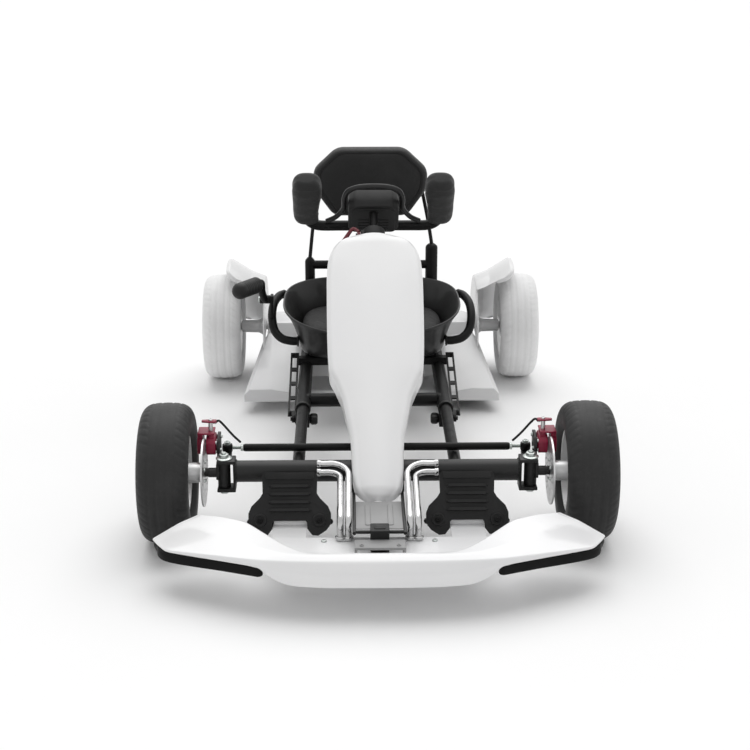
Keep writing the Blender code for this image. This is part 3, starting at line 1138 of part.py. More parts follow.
def drive_section(z, inset):
    """Plan outline of the drive unit at a height, with cut corners; its top draws in."""
    rise = z - DRIVE_BASE_Z
    front = drive_front(z) + inset * 1.2
    back = WHEELBASE + DRIVE_TAIL - rise * 0.79 - inset * 1.2
    side = table([(0.0, DRIVE_SIDE), (0.070, DRIVE_SIDE), (0.108, DRIVE_SIDE - 0.012)], rise) - inset
    corner = 0.012
    half = [(side - corner, front), (side, front + corner), (side, back - corner), (side - corner, back)]
    outline = half + [(-x, y) for x, y in reversed(half)]
    return [Vector((x, y, z)) for x, y in outline]


def deck_ring(y_of, inset, low, mouth):
    """Section of a foot deck across the kart: a chamfered outer edge, a flat, and a fall towards the rails."""
    outer = table([(DECK_FRONT, DECK_OUTER), (WHEELBASE - 0.05, DRIVE_SIDE - 0.0035)], y_of(DECK_LIP)) - inset
    inner = DECK_INNER + inset
    crest = low - inset
    points = [(outer, mouth), (outer, crest - 0.012), (outer - 0.012, crest), (DECK_CREASE, crest),
              (inner, crest - 0.014), (inner, mouth)]
    return [Vector((x, y_of(z), z)) for x, z in points]


def make_drive_unit():
    """Cover and tray of the drive unit, the battery inside, the fenders and the foot decks."""
    levels = (DRIVE_BASE_Z, DRIVE_BASE_Z + 0.070, DRIVE_TOP_Z)
    cover = piece("drive_cover", skin([drive_section(z, 0.0) for z in levels]))
    hollow_levels = (DRIVE_BASE_Z - 0.010, DRIVE_BASE_Z, DRIVE_BASE_Z + 0.070, DRIVE_TOP_Z - DRIVE_WALL)
    cavity = skin([drive_section(z, DRIVE_WALL) for z in hollow_levels])
    slot = MOTOR_AXLE_RADIUS + 0.0006
    arc = [(WHEELBASE + slot * math.cos(t), REAR_TYRE_RADIUS + slot * math.sin(t))
           for t in [math.pi * i / 8 for i in range(9)]]
    notches = both_sides(lambda: prism([*arc, (WHEELBASE - slot, 0.0), (WHEELBASE + slot, 0.0)], along_x,
                                       DRIVE_SIDE - 0.02, DRIVE_SIDE + 0.02))
    finish_piece(cut(cover, [cavity, *notches]), "pale_plastic", rear_frame)

    plate = skin([drive_section(z, DRIVE_WALL + 0.0010) for z in (DRIVE_BASE_Z, DRIVE_BASE_Z + 0.006)])
    pillars = both_sides(lambda: box((0.180, WHEELBASE - 0.020, DRIVE_BASE_Z + 0.003),
                                     (0.222, WHEELBASE + 0.020, DRIVE_TOP_Z - DRIVE_WALL - 0.0005)))
    axles = both_sides(lambda: spindle([(0.200, MOTOR_AXLE_RADIUS), (REAR_WIDTH / 2 + 0.002, MOTOR_AXLE_RADIUS)],
                                       (0.0, WHEELBASE, REAR_TYRE_RADIUS), (1, 0, 0), 16))
    join("drive_tray", [plate, *pillars, *axles], "black_plastic", rear_frame)

    battery = box((-0.140, WHEELBASE - 0.050, DRIVE_BASE_Z + 0.006 + GAP), (0.140, WHEELBASE + 0.060, 0.108))
    piece("battery_pack", battery, "grey_plastic", rear_frame)

    t = FENDER_WALL
    inner = DRIVE_SIDE + GAP
    lip, shoulder = 0.324, 0.270
    neck = FENDER_RADIUS - 0.028
    crown = FENDER_RADIUS
    arch = [(inner, 0.090), (inner, neck - 0.012), (shoulder, neck), (lip - 0.008, crown), (lip, crown - 0.002),
            (lip, crown - 0.012), (lip - 0.004, crown - 0.012), (lip - 0.010, crown - t - 0.001),
            (shoulder, neck - t), (inner + t, neck - t - 0.011), (inner + t, 0.090)]
    skin_out = inner + t - 0.0004
    disc = [(inner, 0.014), (inner, neck - 0.013), (skin_out, neck - 0.016), (skin_out, 0.014)]
    axle = (0.0, WHEELBASE, REAR_TYRE_RADIUS)

    def wall_y(z):
        return drive_front(z) - GAP

    for side, sign in SIDES:
        shapes = [lathe(arch, axle, (1, 0, 0), 11, math.radians(-10), math.radians(130)),
                  lathe(disc, axle, (1, 0, 0), 14, math.radians(-9), math.radians(198))]
        join(f"fender_{side}", [sided(shape, sign) for shape in shapes], "pale_plastic", rear_frame)

        outside = skin([deck_ring(lambda z: DECK_FRONT, 0.0, DECK_LIP, DECK_BOTTOM),
                        deck_ring(wall_y, 0.0, DECK_BACK, DECK_BOTTOM)])
        hollow = skin([deck_ring(lambda z: DECK_FRONT + DECK_WALL, DECK_WALL, DECK_LIP, DECK_BOTTOM - 0.01),
                       deck_ring(lambda z: wall_y(z) - DECK_WALL, DECK_WALL, DECK_BACK, DECK_BOTTOM - 0.01)])
        deck = piece(f"deck_{side}", sided(outside, sign))
        finish_piece(cut(deck, [sided(hollow, sign)]), "pale_plastic", rear_frame)


def make_rear_wheel(side, sign):
    """Tyre and hub motor, which turn on the drive unit's fixed axle."""
    centre = Vector((REAR_WHEEL_X, WHEELBASE, REAR_TYRE_RADIUS))
    half = REAR_TYRE_WIDTH / 2
    bead = REAR_RIM_RADIUS + GAP
    r = REAR_TYRE_RADIUS
    quarter = [(0.034, bead), (half - 0.002, bead + 0.006), (half, r - 0.020), (half - 0.016, r)]
    tyre = quarter + [(-a, rad) for a, rad in reversed(quarter)]
    turned = lathe(tyre, centre, (1, 0, 0), WHEEL_FACETS)
    piece(f"rear_tyre_{side}", sided(turned, sign), "pale_rubber", rear_wheel[side])
    bore = MOTOR_AXLE_RADIUS + GAP
    motor = [(-0.038, bore), (0.040, bore), (0.040, 0.024), (0.030, 0.030), (0.026, 0.064), (0.036, 0.069),
             (0.036, REAR_RIM_RADIUS), (-0.036, REAR_RIM_RADIUS), (-0.036, 0.070), (-0.030, 0.030),
             (-0.038, 0.020)]
    turned = lathe(motor, centre, (1, 0, 0), WHEEL_FACETS)
    piece(f"hub_motor_{side}", sided(turned, sign), "bare_steel", rear_wheel[side])


def make_hand_brake():
    """The lever on the driver's right, with its hub on the seat hoop's pin and its rounded grip."""
    x, y, z = BRAKE_PIVOT
    bore = BRAKE_PIN_RADIUS + GAP
    hub = lathe([(-0.0117, bore), (0.0107, bore), (0.0107, BRAKE_HUB_RADIUS), (-0.0117, BRAKE_HUB_RADIUS)],
                (x, y, z), (1, 0, 0), 12)
    base = Vector((x - 0.0125, y - 0.053, z + 0.047))
    tip = Vector((x - 0.0445, y - 0.113, z + 0.050))
    heading = (tip - base).normalized()
    bend = smooth_route([(x - 0.002, y - 0.006, z + 0.003), (x - 0.0025, y - 0.015, z + 0.008),
                         (x - 0.0055, y - 0.031, z + 0.027),
                         base - heading * 0.014], 2)
    lever = rod([*bend, base - heading * 0.006, base - heading * GAP], 0.0080, 8)
    join("brake_arm", [hub, lever], "black_steel", hand_brake)
    length = (tip - base).length + BRAKE_GRIP_RADIUS
    r = BRAKE_GRIP_RADIUS
    profile = [(0.0, r * 0.55), (0.004, r * 0.86), (0.012, r), (length * 0.5, r * 0.94), (length - 0.016, r),
               (length - 0.006, r * 0.80), (length, r * 0.35)]
    piece("brake_grip", spindle(profile, base, heading, 12), "black_plastic", hand_brake)


make_front_frame()
for side, sign in SIDES:
    make_kingpin(side, sign)
    make_knuckle(side, sign)
    make_caliper(side, sign)
    make_brake_cable(side, sign)
    make_front_wheel(side, sign)
    make_rear_wheel(side, sign)
    make_clamp(side, sign)
make_track_rod()
make_column()
make_steering()
make_steering_cover()
make_bumper()
make_front_struts()
make_pedals()
make_rear_rails()
make_seat()
make_back()
make_drive_unit()
make_hand_brake()
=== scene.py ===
# %% [markdown]
# # Electric go-kart
# A telescoping kart: two steered front wheels on a round axle beam, a white bumper that wraps round two
# pedals, a long nose cover over the steering column, and a bucket seat on slim rails in front of a
# two-motor drive unit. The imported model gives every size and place. This lesson dresses it: each cell
# makes one piece or one finish.

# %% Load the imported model
import math

import bmesh
import bpy
import numpy as np
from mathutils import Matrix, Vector


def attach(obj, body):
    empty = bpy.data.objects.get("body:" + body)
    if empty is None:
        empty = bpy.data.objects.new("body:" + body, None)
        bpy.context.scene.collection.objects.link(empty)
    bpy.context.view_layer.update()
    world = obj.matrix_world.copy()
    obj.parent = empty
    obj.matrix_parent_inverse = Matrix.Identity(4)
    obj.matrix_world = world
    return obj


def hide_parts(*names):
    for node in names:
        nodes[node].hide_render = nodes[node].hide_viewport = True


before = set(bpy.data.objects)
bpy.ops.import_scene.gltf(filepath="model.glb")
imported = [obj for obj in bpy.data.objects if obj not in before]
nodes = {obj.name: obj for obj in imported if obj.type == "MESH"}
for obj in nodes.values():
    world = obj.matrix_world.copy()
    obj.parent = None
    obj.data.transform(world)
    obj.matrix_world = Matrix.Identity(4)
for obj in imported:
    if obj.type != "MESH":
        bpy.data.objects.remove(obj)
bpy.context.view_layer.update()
print("nodes in the packed model:", len(nodes))

# %% [markdown]
# ## Where the photograph was taken from
# The camera stands in front of the nose, a little above the seat, and looks down by 18.6 degrees. Its place
# comes from the ellipses of the wheels and the ground line, so the render lines up with the photograph.

# %% The camera
TAU = 2 * math.pi
AXLE_LINE = np.array([0.0, -0.36775, 0.0])

lens = bpy.data.cameras.new("studio_camera")
lens.sensor_width = 36.0
lens.lens = 73.884
camera = bpy.data.objects.new("studio_camera", lens)
camera.location = (-0.047, -2.87245, 1.1455)
camera.rotation_euler = (math.radians(71.38), 0.0, math.radians(-0.975))
bpy.context.scene.collection.objects.link(camera)
bpy.context.scene.camera = camera
bpy.context.scene.view_settings.view_transform = "Standard"

# %% [markdown]
# ## Arithmetic on sockets
# A procedural material is a sum of small sums. Dragging nodes is slow to read, so one small class
# wraps a socket and lets Python's own operators add the Math nodes. A second class holds the
# material that is being mixed.


# %% Values and finishes
class Value:
    """An output socket of a material; arithmetic on it adds Math nodes."""

    def __init__(self, finish, socket):
        self.finish = finish
        self.socket = socket

    def maths(self, operation, a, b=0.0):
        """One Math node."""
        return self.finish.node("ShaderNodeMath", {"operation": operation}, {0: a, 1: b})

    def __add__(self, other):
        return self.maths("ADD", self, other)

    __radd__ = __add__

    def __sub__(self, other):
        return self.maths("SUBTRACT", self, other)

    def __rsub__(self, other):
        return self.maths("SUBTRACT", other, self)

    def __mul__(self, other):
        return self.maths("MULTIPLY", self, other)

    __rmul__ = __mul__


class Finish:
    """A material on its way: steady numbers go straight to the shader, and node() adds everything else."""

    def __init__(self, name, **steady):
        self.material = bpy.data.materials.new(name)
        self.material.use_nodes = True
        self.tree = self.material.node_tree
        self.shader = self.tree.nodes["Principled BSDF"]
        for socket, number in steady.items():
            self.shader.inputs[socket.replace("_", " ")].default_value = number
        self.place = self.node("ShaderNodeTexCoord", {}, {}, "Object")

    def node(self, kind, settings, sockets, output=0):
        """Any node, by its type, its settings and what its sockets get."""
        made = self.tree.nodes.new(kind)
        for key, setting in settings.items():
            setattr(made, key, setting)
        for key, given in sockets.items():
            self.plug(made.inputs[key], given)
        return Value(self, made.outputs[output])

    def plug(self, socket, given):
        """A link for a value, a plain setting for a number."""
        if isinstance(given, Value):
            self.tree.links.new(given.socket, socket)
        else:
            socket.default_value = given

    def stretched(self, scale):
        """The object's own coordinates, stretched."""
        return self.node("ShaderNodeMapping", {}, {"Vector": self.place, "Scale": scale})

    def noise(self, scale, detail=3.0, rough=0.55, place=None):
        """Soft noise between 0 and 1."""
        return self.node("ShaderNodeTexNoise", {}, {"Vector": place or self.place, "Scale": scale,
                                                    "Detail": detail, "Roughness": rough})

    def cells(self, scale, feature="F1"):
        """Distance to the nearest cell centre, or to the cell's edge."""
        return self.node("ShaderNodeTexVoronoi", {"feature": feature},
                         {"Vector": self.place, "Scale": scale}, "Distance")

    def ramp(self, given, low, high):
        """0 below low and 1 above high, straight between."""
        return self.node("ShaderNodeMapRange", {}, {"Value": given, "From Min": low, "From Max": high})

    def mix(self, share, first, second):
        """A colour between two, by a share."""
        made = self.tree.nodes.new("ShaderNodeMix")
        made.data_type = "RGBA"
        self.plug(made.inputs[0], share)
        self.plug(made.inputs[6], first)
        self.plug(made.inputs[7], second)
        return Value(self, made.outputs[2])

    def bump(self, height, distance):
        """Relief of a given depth in metres."""
        normal = self.node("ShaderNodeBump", {}, {"Height": height, "Distance": distance})
        self.plug(self.shader.inputs["Normal"], normal)

    def set(self, socket, given):
        """Feed one of the shader's sockets."""
        self.plug(self.shader.inputs[socket], given)


def shade(level, tint=(1.0, 1.0, 1.0)):
    """A grey with a slight tint, as a colour with alpha."""
    return (level * tint[0], level * tint[1], level * tint[2], 1.0)


# %% [markdown]
# ## Finishes
# Powder coat is baked paint: even, a little glossy, with a fine orange peel and dull patches where
# hands and shoes rub it. Moulded plastic has a fine grain from the tool. Solid tyres are matt, with
# dust low in the relief. Bare metals carry turning and drawing lines. Each function below mixes one of
# them from a few plain numbers.


# %% Paint and plastic
def powder_coat(name, colour, worn, gloss=0.38, shine=0.12, top=0.03, peel=0.00006):
    """Colour mixed towards a worn one by blotchy noise; roughness follows it; orange peel as relief."""
    coat = Finish(name, Specular_IOR_Level=shine, Coat_Weight=top, Coat_Roughness=0.22)
    rubbed = coat.ramp(coat.noise(34.0, 5.0, 0.62), 0.52, 0.78)
    coat.set("Base Color", coat.mix(rubbed * 0.55, colour, worn))
    coat.set("Roughness", gloss + rubbed * 0.16 + coat.noise(210.0, 2.0) * 0.06)
    coat.bump(coat.noise(640.0, 2.0), peel)
    return coat.material


def moulded(name, colour, second, rough, grain, depth, coat_weight=0.0, shine=0.26):
    """Moulded plastic: slow colour drift, a leather-like grain of small cells, dull and shiny patches."""
    skin = Finish(name, Specular_IOR_Level=shine, Coat_Weight=coat_weight, Coat_Roughness=0.12)
    drift = skin.noise(9.0, 3.0)
    skin.set("Base Color", skin.mix(skin.ramp(drift, 0.35, 0.70), colour, second))
    skin.set("Roughness", rough + skin.noise(60.0, 3.0) * 0.10 - 0.05)
    skin.bump(skin.cells(grain) * 0.7 + skin.noise(grain * 1.7, 2.0) * 0.5, depth)
    return skin.material


def glossy_shell(name, colour, second, rough=0.30):
    """Polished white plastic: nearly even, with a faint flow pattern, fine dust specks and a clear top."""
    skin = Finish(name, Coat_Weight=0.45, Coat_Roughness=0.10)
    flow = skin.noise(3.2, 4.0, 0.6, skin.stretched((1.0, 0.35, 1.0)))
    specks = skin.ramp(skin.cells(420.0), 0.06, 0.10)
    toned = skin.mix(skin.ramp(flow, 0.38, 0.66), colour, second)
    skin.set("Base Color", skin.mix(1.0 - specks, toned, shade(second[0] * 0.80)))
    skin.set("Roughness", rough + skin.ramp(skin.noise(26.0, 5.0), 0.45, 0.75) * 0.12)
    skin.bump(skin.noise(90.0, 2.0), 0.00004)
    return skin.material


# %% Rubber
def solid_rubber(name, colour, dusty, rough, pores):
    """Tyre rubber: fine pores, dust in broad uneven patches, and scuffs that shine a little more."""
    skin = Finish(name, Specular_IOR_Level=0.34)
    dust = skin.ramp(skin.noise(26.0, 6.0, 0.66), 0.44, 0.74)
    scuffs = skin.ramp(skin.noise(150.0, 4.0, 0.7), 0.55, 0.72)
    skin.set("Base Color", skin.mix(dust * 0.55 + scuffs * 0.25, colour, dusty))
    skin.set("Roughness", rough + dust * 0.12 - scuffs * 0.06)
    skin.bump(skin.noise(pores, 3.0) + skin.cells(pores * 0.55) * 0.5, 0.00018)
    return skin.material


# %% Metals
def turned_metal(name, colour, second, rough, line_scale=(900.0, 900.0, 9.0), marks=0.00003):
    """Bare metal: fine parallel tool lines from noise stretched along one axis, over slow changes of tone."""
    bare = Finish(name, Metallic=1.0)
    lines = bare.noise(1.0, 2.0, 0.5, bare.stretched(line_scale))
    tone = bare.ramp(bare.noise(48.0, 4.0), 0.40, 0.70)
    bare.set("Base Color", bare.mix(tone, colour, second))
    bare.set("Roughness", rough + lines * 0.12 + tone * 0.06)
    bare.bump(lines, marks)
    return bare.material


# %% Padding
def grained_cover(name, colour, second, pebble, rough=0.56):
    """Sewn leatherette: pebbled cells with creases between them, each pebble a little shinier on top; painted
    shade makes its colour lighter on top and darker in the creases.
    """
    cover = Finish(name, Specular_IOR_Level=0.26, Sheen_Weight=0.04, Sheen_Roughness=0.5)
    cell = cover.cells(pebble, "DISTANCE_TO_EDGE")
    crown = cover.ramp(cell, 0.0, 0.16)
    worn = cover.ramp(cover.noise(14.0, 5.0, 0.6), 0.46, 0.72)
    # painted shade: the crown term makes the colour darker in the creases between pebbles and lighter on their
    # tops
    cover.set("Base Color", cover.mix(worn * 0.6 + crown * 0.2, colour, second))
    cover.set("Roughness", rough - crown * 0.07 + worn * 0.06)
    cover.bump(crown + cover.noise(pebble * 2.5, 2.0) * 0.4, 0.00022)
    return cover.material


# %% All finishes of this kart
WHITE_TINT = (1.0, 1.0, 1.01)
# finish: (slot, the function that mixes it, its colours and numbers)
RECIPES = {"frame_black": ("black_steel", powder_coat, shade(0.006), shade(0.015)),
           "frame_satin": ("black_steel", powder_coat, shade(0.010), shade(0.025), 0.42, 0.29, 0.08),
           "lever_red": ("red_paint", powder_coat, (0.130, 0.014, 0.022, 1.0), (0.21, 0.05, 0.06, 1.0),
                         0.34, 0.34, 0.12),
           "brake_red": ("red_paint", powder_coat, (0.270, 0.009, 0.042, 1.0), (0.34, 0.05, 0.08, 1.0),
                         0.34, 0.34, 0.12),
           "hard_black": ("black_plastic", moulded, shade(0.007), shade(0.016), 0.50, 420.0, 0.00010),
           "seat_black": ("black_plastic", moulded, shade(0.016), shade(0.028), 0.40, 300.0, 0.00012, 0.20),
           "tread_black": ("black_plastic", moulded, shade(0.009), shade(0.019), 0.62, 520.0, 0.00016),
           "knob_grey": ("grey_plastic", moulded, shade(0.115), shade(0.155), 0.52, 420.0, 0.00010),
           "shell_white": ("white_plastic", glossy_shell, shade(0.87), shade(0.84, WHITE_TINT)),
           "shell_pale": ("pale_plastic", glossy_shell, shade(0.74), shade(0.70, WHITE_TINT), 0.38),
           "tyre_black": ("front_rubber", solid_rubber, shade(0.012), shade(0.034), 0.54, 620.0),
           "tyre_pale": ("rear_rubber", solid_rubber, shade(0.87), shade(0.78), 0.70, 620.0),
           # grey of the latch bracket, and also the painted shade of the web between the stays
           "bracket_grey": ("grey_plastic", moulded, shade(0.30), shade(0.36), 0.46, 420.0, 0.00008),
           "trim_black": ("black_plastic", moulded, shade(0.003), shade(0.007), 0.50, 420.0, 0.00008,
                          0.0, 0.10),
           "sheath_black": ("cable_sheath", moulded, shade(0.010), shade(0.018), 0.48, 900.0, 0.00005),
           "padding": ("padding", grained_cover, shade(0.008), shade(0.020), 520.0),
           "grip_padding": ("black_plastic", grained_cover, shade(0.014), shade(0.032), 620.0),
           "chrome": ("chrome", turned_metal, shade(0.52), shade(0.42), 0.10, (40.0, 900.0, 40.0), 0.00001),
           "zinc": ("zinc", turned_metal, (0.50, 0.53, 0.51, 1.0), (0.40, 0.43, 0.42, 1.0), 0.30),
           "steel": ("steel", turned_metal, shade(0.60), shade(0.50), 0.28),
           "alloy": ("alloy", turned_metal, shade(0.66), shade(0.58), 0.32, (9.0, 600.0, 600.0)),
           "motor_pale": ("alloy", glossy_shell, shade(0.74), shade(0.68), 0.42)}
finishes = {name: (make(name, *numbers), slot) for name, (slot, make, *numbers) in RECIPES.items()}
print("finishes:", len(finishes))

# %% [markdown]
# ## Points into pieces
# Every new shape is a grid of points worked out with whole numpy arrays. A grid has rows and columns;
# joining neighbours gives its faces. Closing the columns makes a tube, closing the rows as well makes a
# ring. The kart's sizes are measured from the front axle line on the ground, and one shift puts a
# finished piece into the frame.


# %% Grids, tubes and rings
def unit(vectors):
    """Each vector divided by its length."""
    return vectors / np.linalg.norm(vectors, axis=-1, keepdims=True)


def grid_shape(grid, along=False):
    """Points and faces: quads between neighbours, columns wrapped; rows are wrapped too, or get end faces."""
    rows, columns = grid.shape[:2]
    index = np.arange(rows * columns).reshape(rows, columns)
    first, last = index[0].tolist(), index[-1].tolist()
    index = np.concatenate([index, index[:, :1]], axis=1)
    if along:
        index = np.concatenate([index, index[:1]], axis=0)
    quads = np.stack([index[:-1, :-1], index[:-1, 1:], index[1:, 1:], index[1:, :-1]], axis=-1).reshape(-1, 4)
    faces = quads.tolist()
    if not along:
        faces += [first[::-1], last]
    return grid.reshape(-1, 3), faces


def together(*shapes):
    """Several closed shapes as one."""
    points, faces, start = [], [], 0
    for more, quads in shapes:
        points.append(np.asarray(more))
        faces += [[i + start for i in face] for face in quads]
        start += len(more)
    return np.concatenate(points), faces


def mirrored(shape):
    """The same shape on the other side of the kart."""
    points, faces = shape
    return points * np.array([-1.0, 1.0, 1.0]), [face[::-1] for face in faces]


def paired(shapes):
    """The shapes of one side, then the same ones on the other side."""
    return [*shapes, *(mirrored(shape) for shape in shapes)]


def round_section(radius, count=20):
    """A circle as a profile: radius * (cos t, sin t)."""
    t = np.linspace(0.0, TAU, count, endpoint=False)
    return radius * np.stack([np.cos(t), np.sin(t)], axis=1)


def smooth_path(points, steps=8):
    """A Catmull-Rom curve: a cubic between two points that leaves each along the line of its neighbours."""
    p = np.asarray(points, float)
    p = np.vstack([2 * p[0] - p[1], p, 2 * p[-1] - p[-2]])
    t = np.linspace(0.0, 1.0, steps, endpoint=False)[None, :, None]
    a, b, c, d = (p[i:len(p) - 3 + i, None] for i in range(4))
    curve = 0.5 * (2 * b + (c - a) * t + (2 * a - 5 * b + 4 * c - d) * t ** 2
                   + (3 * b - a - 3 * c + d) * t ** 3)
    return np.vstack([curve.reshape(-1, p.shape[1]), p[-2]])


def carried(section, path, up=(0.0, 0.0, 1.0), sizes=1.0, closed=False):
    """A profile carried along a path: path + size * (u * side + v * over), side being heading x up."""
    path = np.asarray(path, float)
    heading = unit(np.roll(path, -1, 0) - np.roll(path, 1, 0)) if closed else unit(np.gradient(path, axis=0))
    side = unit(np.cross(heading, np.asarray(up, float)))
    over = np.cross(side, heading)
    sizes = np.broadcast_to(sizes, (len(path),))[:, None, None]
    grid = path[:, None] + sizes * (section[None, :, :1] * side[:, None]
                                    + section[None, :, 1:] * over[:, None])
    return grid_shape(grid, along=closed)


def rod(path, radius, up=(0.0, 0.0, 1.0), count=20):
    """A circle carried along a path."""
    return carried(round_section(radius, count), path, up)


def axis_frame(axis):
    """A unit axis with two directions square to it."""
    axis = unit(np.asarray(axis, float))
    helper = np.array([0.0, 1.0, 0.0]) if abs(axis[1]) < 0.9 else np.array([0.0, 0.0, 1.0])
    side = unit(np.cross(helper, axis))
    return axis, side, np.cross(axis, side)


def turned_ring(profile, centre, axis, count=72):
    """centre + along * axis + radius * (cos t * side + sin t * up), for a closed outline."""
    axis, side, up = axis_frame(axis)
    t = np.linspace(0.0, TAU, count, endpoint=False)
    out = np.cos(t)[:, None] * side + np.sin(t)[:, None] * up
    profile = np.asarray(profile, float)
    grid = np.asarray(centre) + profile[None, :, :1] * axis + profile[None, :, 1:] * out[:, None]
    return grid_shape(grid, along=True)


def turned_bar(profile, centre, axis, count=32):
    """The same formula for an open (along, radius) line, closed by a face at each end."""
    axis, side, up = axis_frame(axis)
    t = np.linspace(0.0, TAU, count, endpoint=False)
    out = np.cos(t)[:, None] * side + np.sin(t)[:, None] * up
    profile = np.asarray(profile, float)
    grid = np.asarray(centre) + profile[:, None, :1] * axis + profile[:, None, 1:] * out[None]
    return grid_shape(grid)


def rounded(corners, radius, steps=4):
    """A closed outline with round corners: (1-t)^2 a + 2t(1-t) corner + t^2 b, a and b a radius away."""
    c = np.asarray(corners, float)
    to_before, to_after = np.roll(c, 1, 0) - c, np.roll(c, -1, 0) - c
    before = np.linalg.norm(to_before, axis=1, keepdims=True)
    after = np.linalg.norm(to_after, axis=1, keepdims=True)
    reach = np.minimum(radius, 0.45 * np.minimum(before, after))
    a, b = c + to_before / before * reach, c + to_after / after * reach
    t = np.linspace(0.0, 1.0, steps + 1)[None, :, None]
    curve = (1 - t) ** 2 * a[:, None] + 2 * t * (1 - t) * c[:, None] + t ** 2 * b[:, None]
    return curve.reshape(-1, c.shape[1])


def ring(low, high, inner, outer, centre, axis, count, corner=0.0, steps=3):
    """A turned sleeve between two radii, its edges rounded where a corner is given."""
    profile = [(low, inner), (low, outer), (high, outer), (high, inner)]
    return turned_ring(rounded(profile, corner, steps) if corner else profile, centre, axis, count)


def inset(outline, amount):
    """A flat outline moved inwards, square to the line between each point's neighbours."""
    step = unit(np.roll(outline, -1, 0) - np.roll(outline, 1, 0))
    inward = np.stack([-step[:, 1], step[:, 0]], axis=1)
    turn = np.sum(outline[:, 0] * np.roll(outline[:, 1], -1) - np.roll(outline[:, 0], -1) * outline[:, 1])
    return outline + inward * amount * np.sign(turn)


def slab(outline, place, low, high, edge=0.0008):
    """A plate from low to high over an outline, with its edges rounded in three steps."""
    rows = [(edge, low), (0.3 * edge, low + 0.3 * edge), (0.0, low + edge),
            (0.0, high - edge), (0.3 * edge, high - 0.3 * edge), (edge, high)]
    outline = np.asarray(outline, float)
    grid = np.stack([place(np.column_stack([inset(outline, cut), np.full(len(outline), w)]))
                     for cut, w in rows])
    return grid_shape(grid)


def rectangle(low_u, low_v, high_u, high_v, radius=0.001, steps=3):
    """Four corners, each rounded."""
    return rounded([(low_u, low_v), (high_u, low_v), (high_u, high_v), (low_u, high_v)], radius, steps)


def frame_at(origin, u, v, w):
    """A function that puts (u, v, w) points into space."""
    axes = np.array([u, v, w], float)
    return lambda points: np.asarray(origin, float) + np.asarray(points, float) @ axes


ORIGIN = (0.0, 0.0, 0.0)
SIDES = (("left", lambda shape: shape), ("right", mirrored))
ACROSS, INWARD, ALONG, UPWARD = (1, 0, 0), (-1, 0, 0), (0, 1, 0), (0, 0, 1)
across_kart = frame_at(ORIGIN, ALONG, UPWARD, ACROSS)
along_kart = frame_at(ORIGIN, ACROSS, UPWARD, ALONG)
upright = frame_at(ORIGIN, ACROSS, ALONG, UPWARD)


# %% Name, finish and carry a piece
def finish_off(piece, finish, body, stands_for=(), sharp=40.0):
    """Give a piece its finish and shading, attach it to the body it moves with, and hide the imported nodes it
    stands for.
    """
    material, slot = finishes[finish]
    piece.data.materials.clear()
    piece.data.materials.append(material)
    piece.data.shade_smooth()
    piece.data.set_sharp_from_angle(angle=math.radians(sharp))
    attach(piece, body)
    if stands_for:
        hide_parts(*stands_for)
    return piece


def new_piece(name, shape, finish, body, stands_for=(), sharp=40.0, subdivide=0):
    """Turn points and faces into an object in the kart's frame, with its faces pointing outwards."""
    points, faces = shape
    mesh = bpy.data.meshes.new(name)
    mesh.from_pydata((np.asarray(points, float) + AXLE_LINE).tolist(), [], faces)
    bm = bmesh.new()
    bm.from_mesh(mesh)
    bmesh.ops.recalc_face_normals(bm, faces=bm.faces)
    bm.to_mesh(mesh)
    bm.free()
    piece = bpy.data.objects.new(name, mesh)
    bpy.context.scene.collection.objects.link(piece)
    if subdivide:
        smooth = piece.modifiers.new("smooth", "SUBSURF")
        smooth.levels = smooth.render_levels = subdivide
    return finish_off(piece, finish, body, stands_for, sharp)


def dressed(node, shape, finish, body, *rest):
    """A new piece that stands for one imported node."""
    return new_piece(node + "_dressed", shape, finish, body, [node], *rest)


def softened(node, finish, body, width=0.0008, angle=32.0, sharp=30.0):
    """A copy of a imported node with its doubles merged, its flat faces joined and its edges rounded."""
    bm = bmesh.new()
    bm.from_mesh(nodes[node].data)
    bmesh.ops.remove_doubles(bm, verts=bm.verts, dist=0.00001)
    bmesh.ops.dissolve_limit(bm, angle_limit=math.radians(1.0), verts=bm.verts, edges=bm.edges)
    mesh = bpy.data.meshes.new(node + "_dressed")
    bm.to_mesh(mesh)
    bm.free()
    piece = bpy.data.objects.new(node + "_dressed", mesh)
    bpy.context.scene.collection.objects.link(piece)
    edges = piece.modifiers.new("edges", "BEVEL")
    edges.width, edges.segments, edges.limit_method = width, 2, "ANGLE"
    edges.angle_limit = math.radians(angle)
    edges.use_clamp_overlap = True
    return finish_off(piece, finish, body, [node], sharp)


# %% [markdown]
# ## Studio
# The photograph is a cut-out on white: an even pale floor and one broad soft lamp, overhead and a little
# behind. The floor is plain paint, so it keeps the soft shadow under the kart. The world fills the rest: it
# is bright to the camera and in reflections, and dimmer where it lights the kart.

# %% Floor, lamp and world
floor_finish = Finish("studio_floor", Roughness=0.9, Specular_IOR_Level=0.1)
floor_tone = floor_finish.ramp(floor_finish.noise(1.5, 3.0), 0.30, 0.70)
floor_finish.set("Base Color", floor_finish.mix(floor_tone, shade(0.97), shade(0.955)))
bpy.ops.mesh.primitive_grid_add(x_subdivisions=8, y_subdivisions=8, size=60.0, location=(0.0, 0.0, -0.0005))
floor = bpy.context.object
floor.name = "studio_floor"
floor.data.materials.append(floor_finish.material)

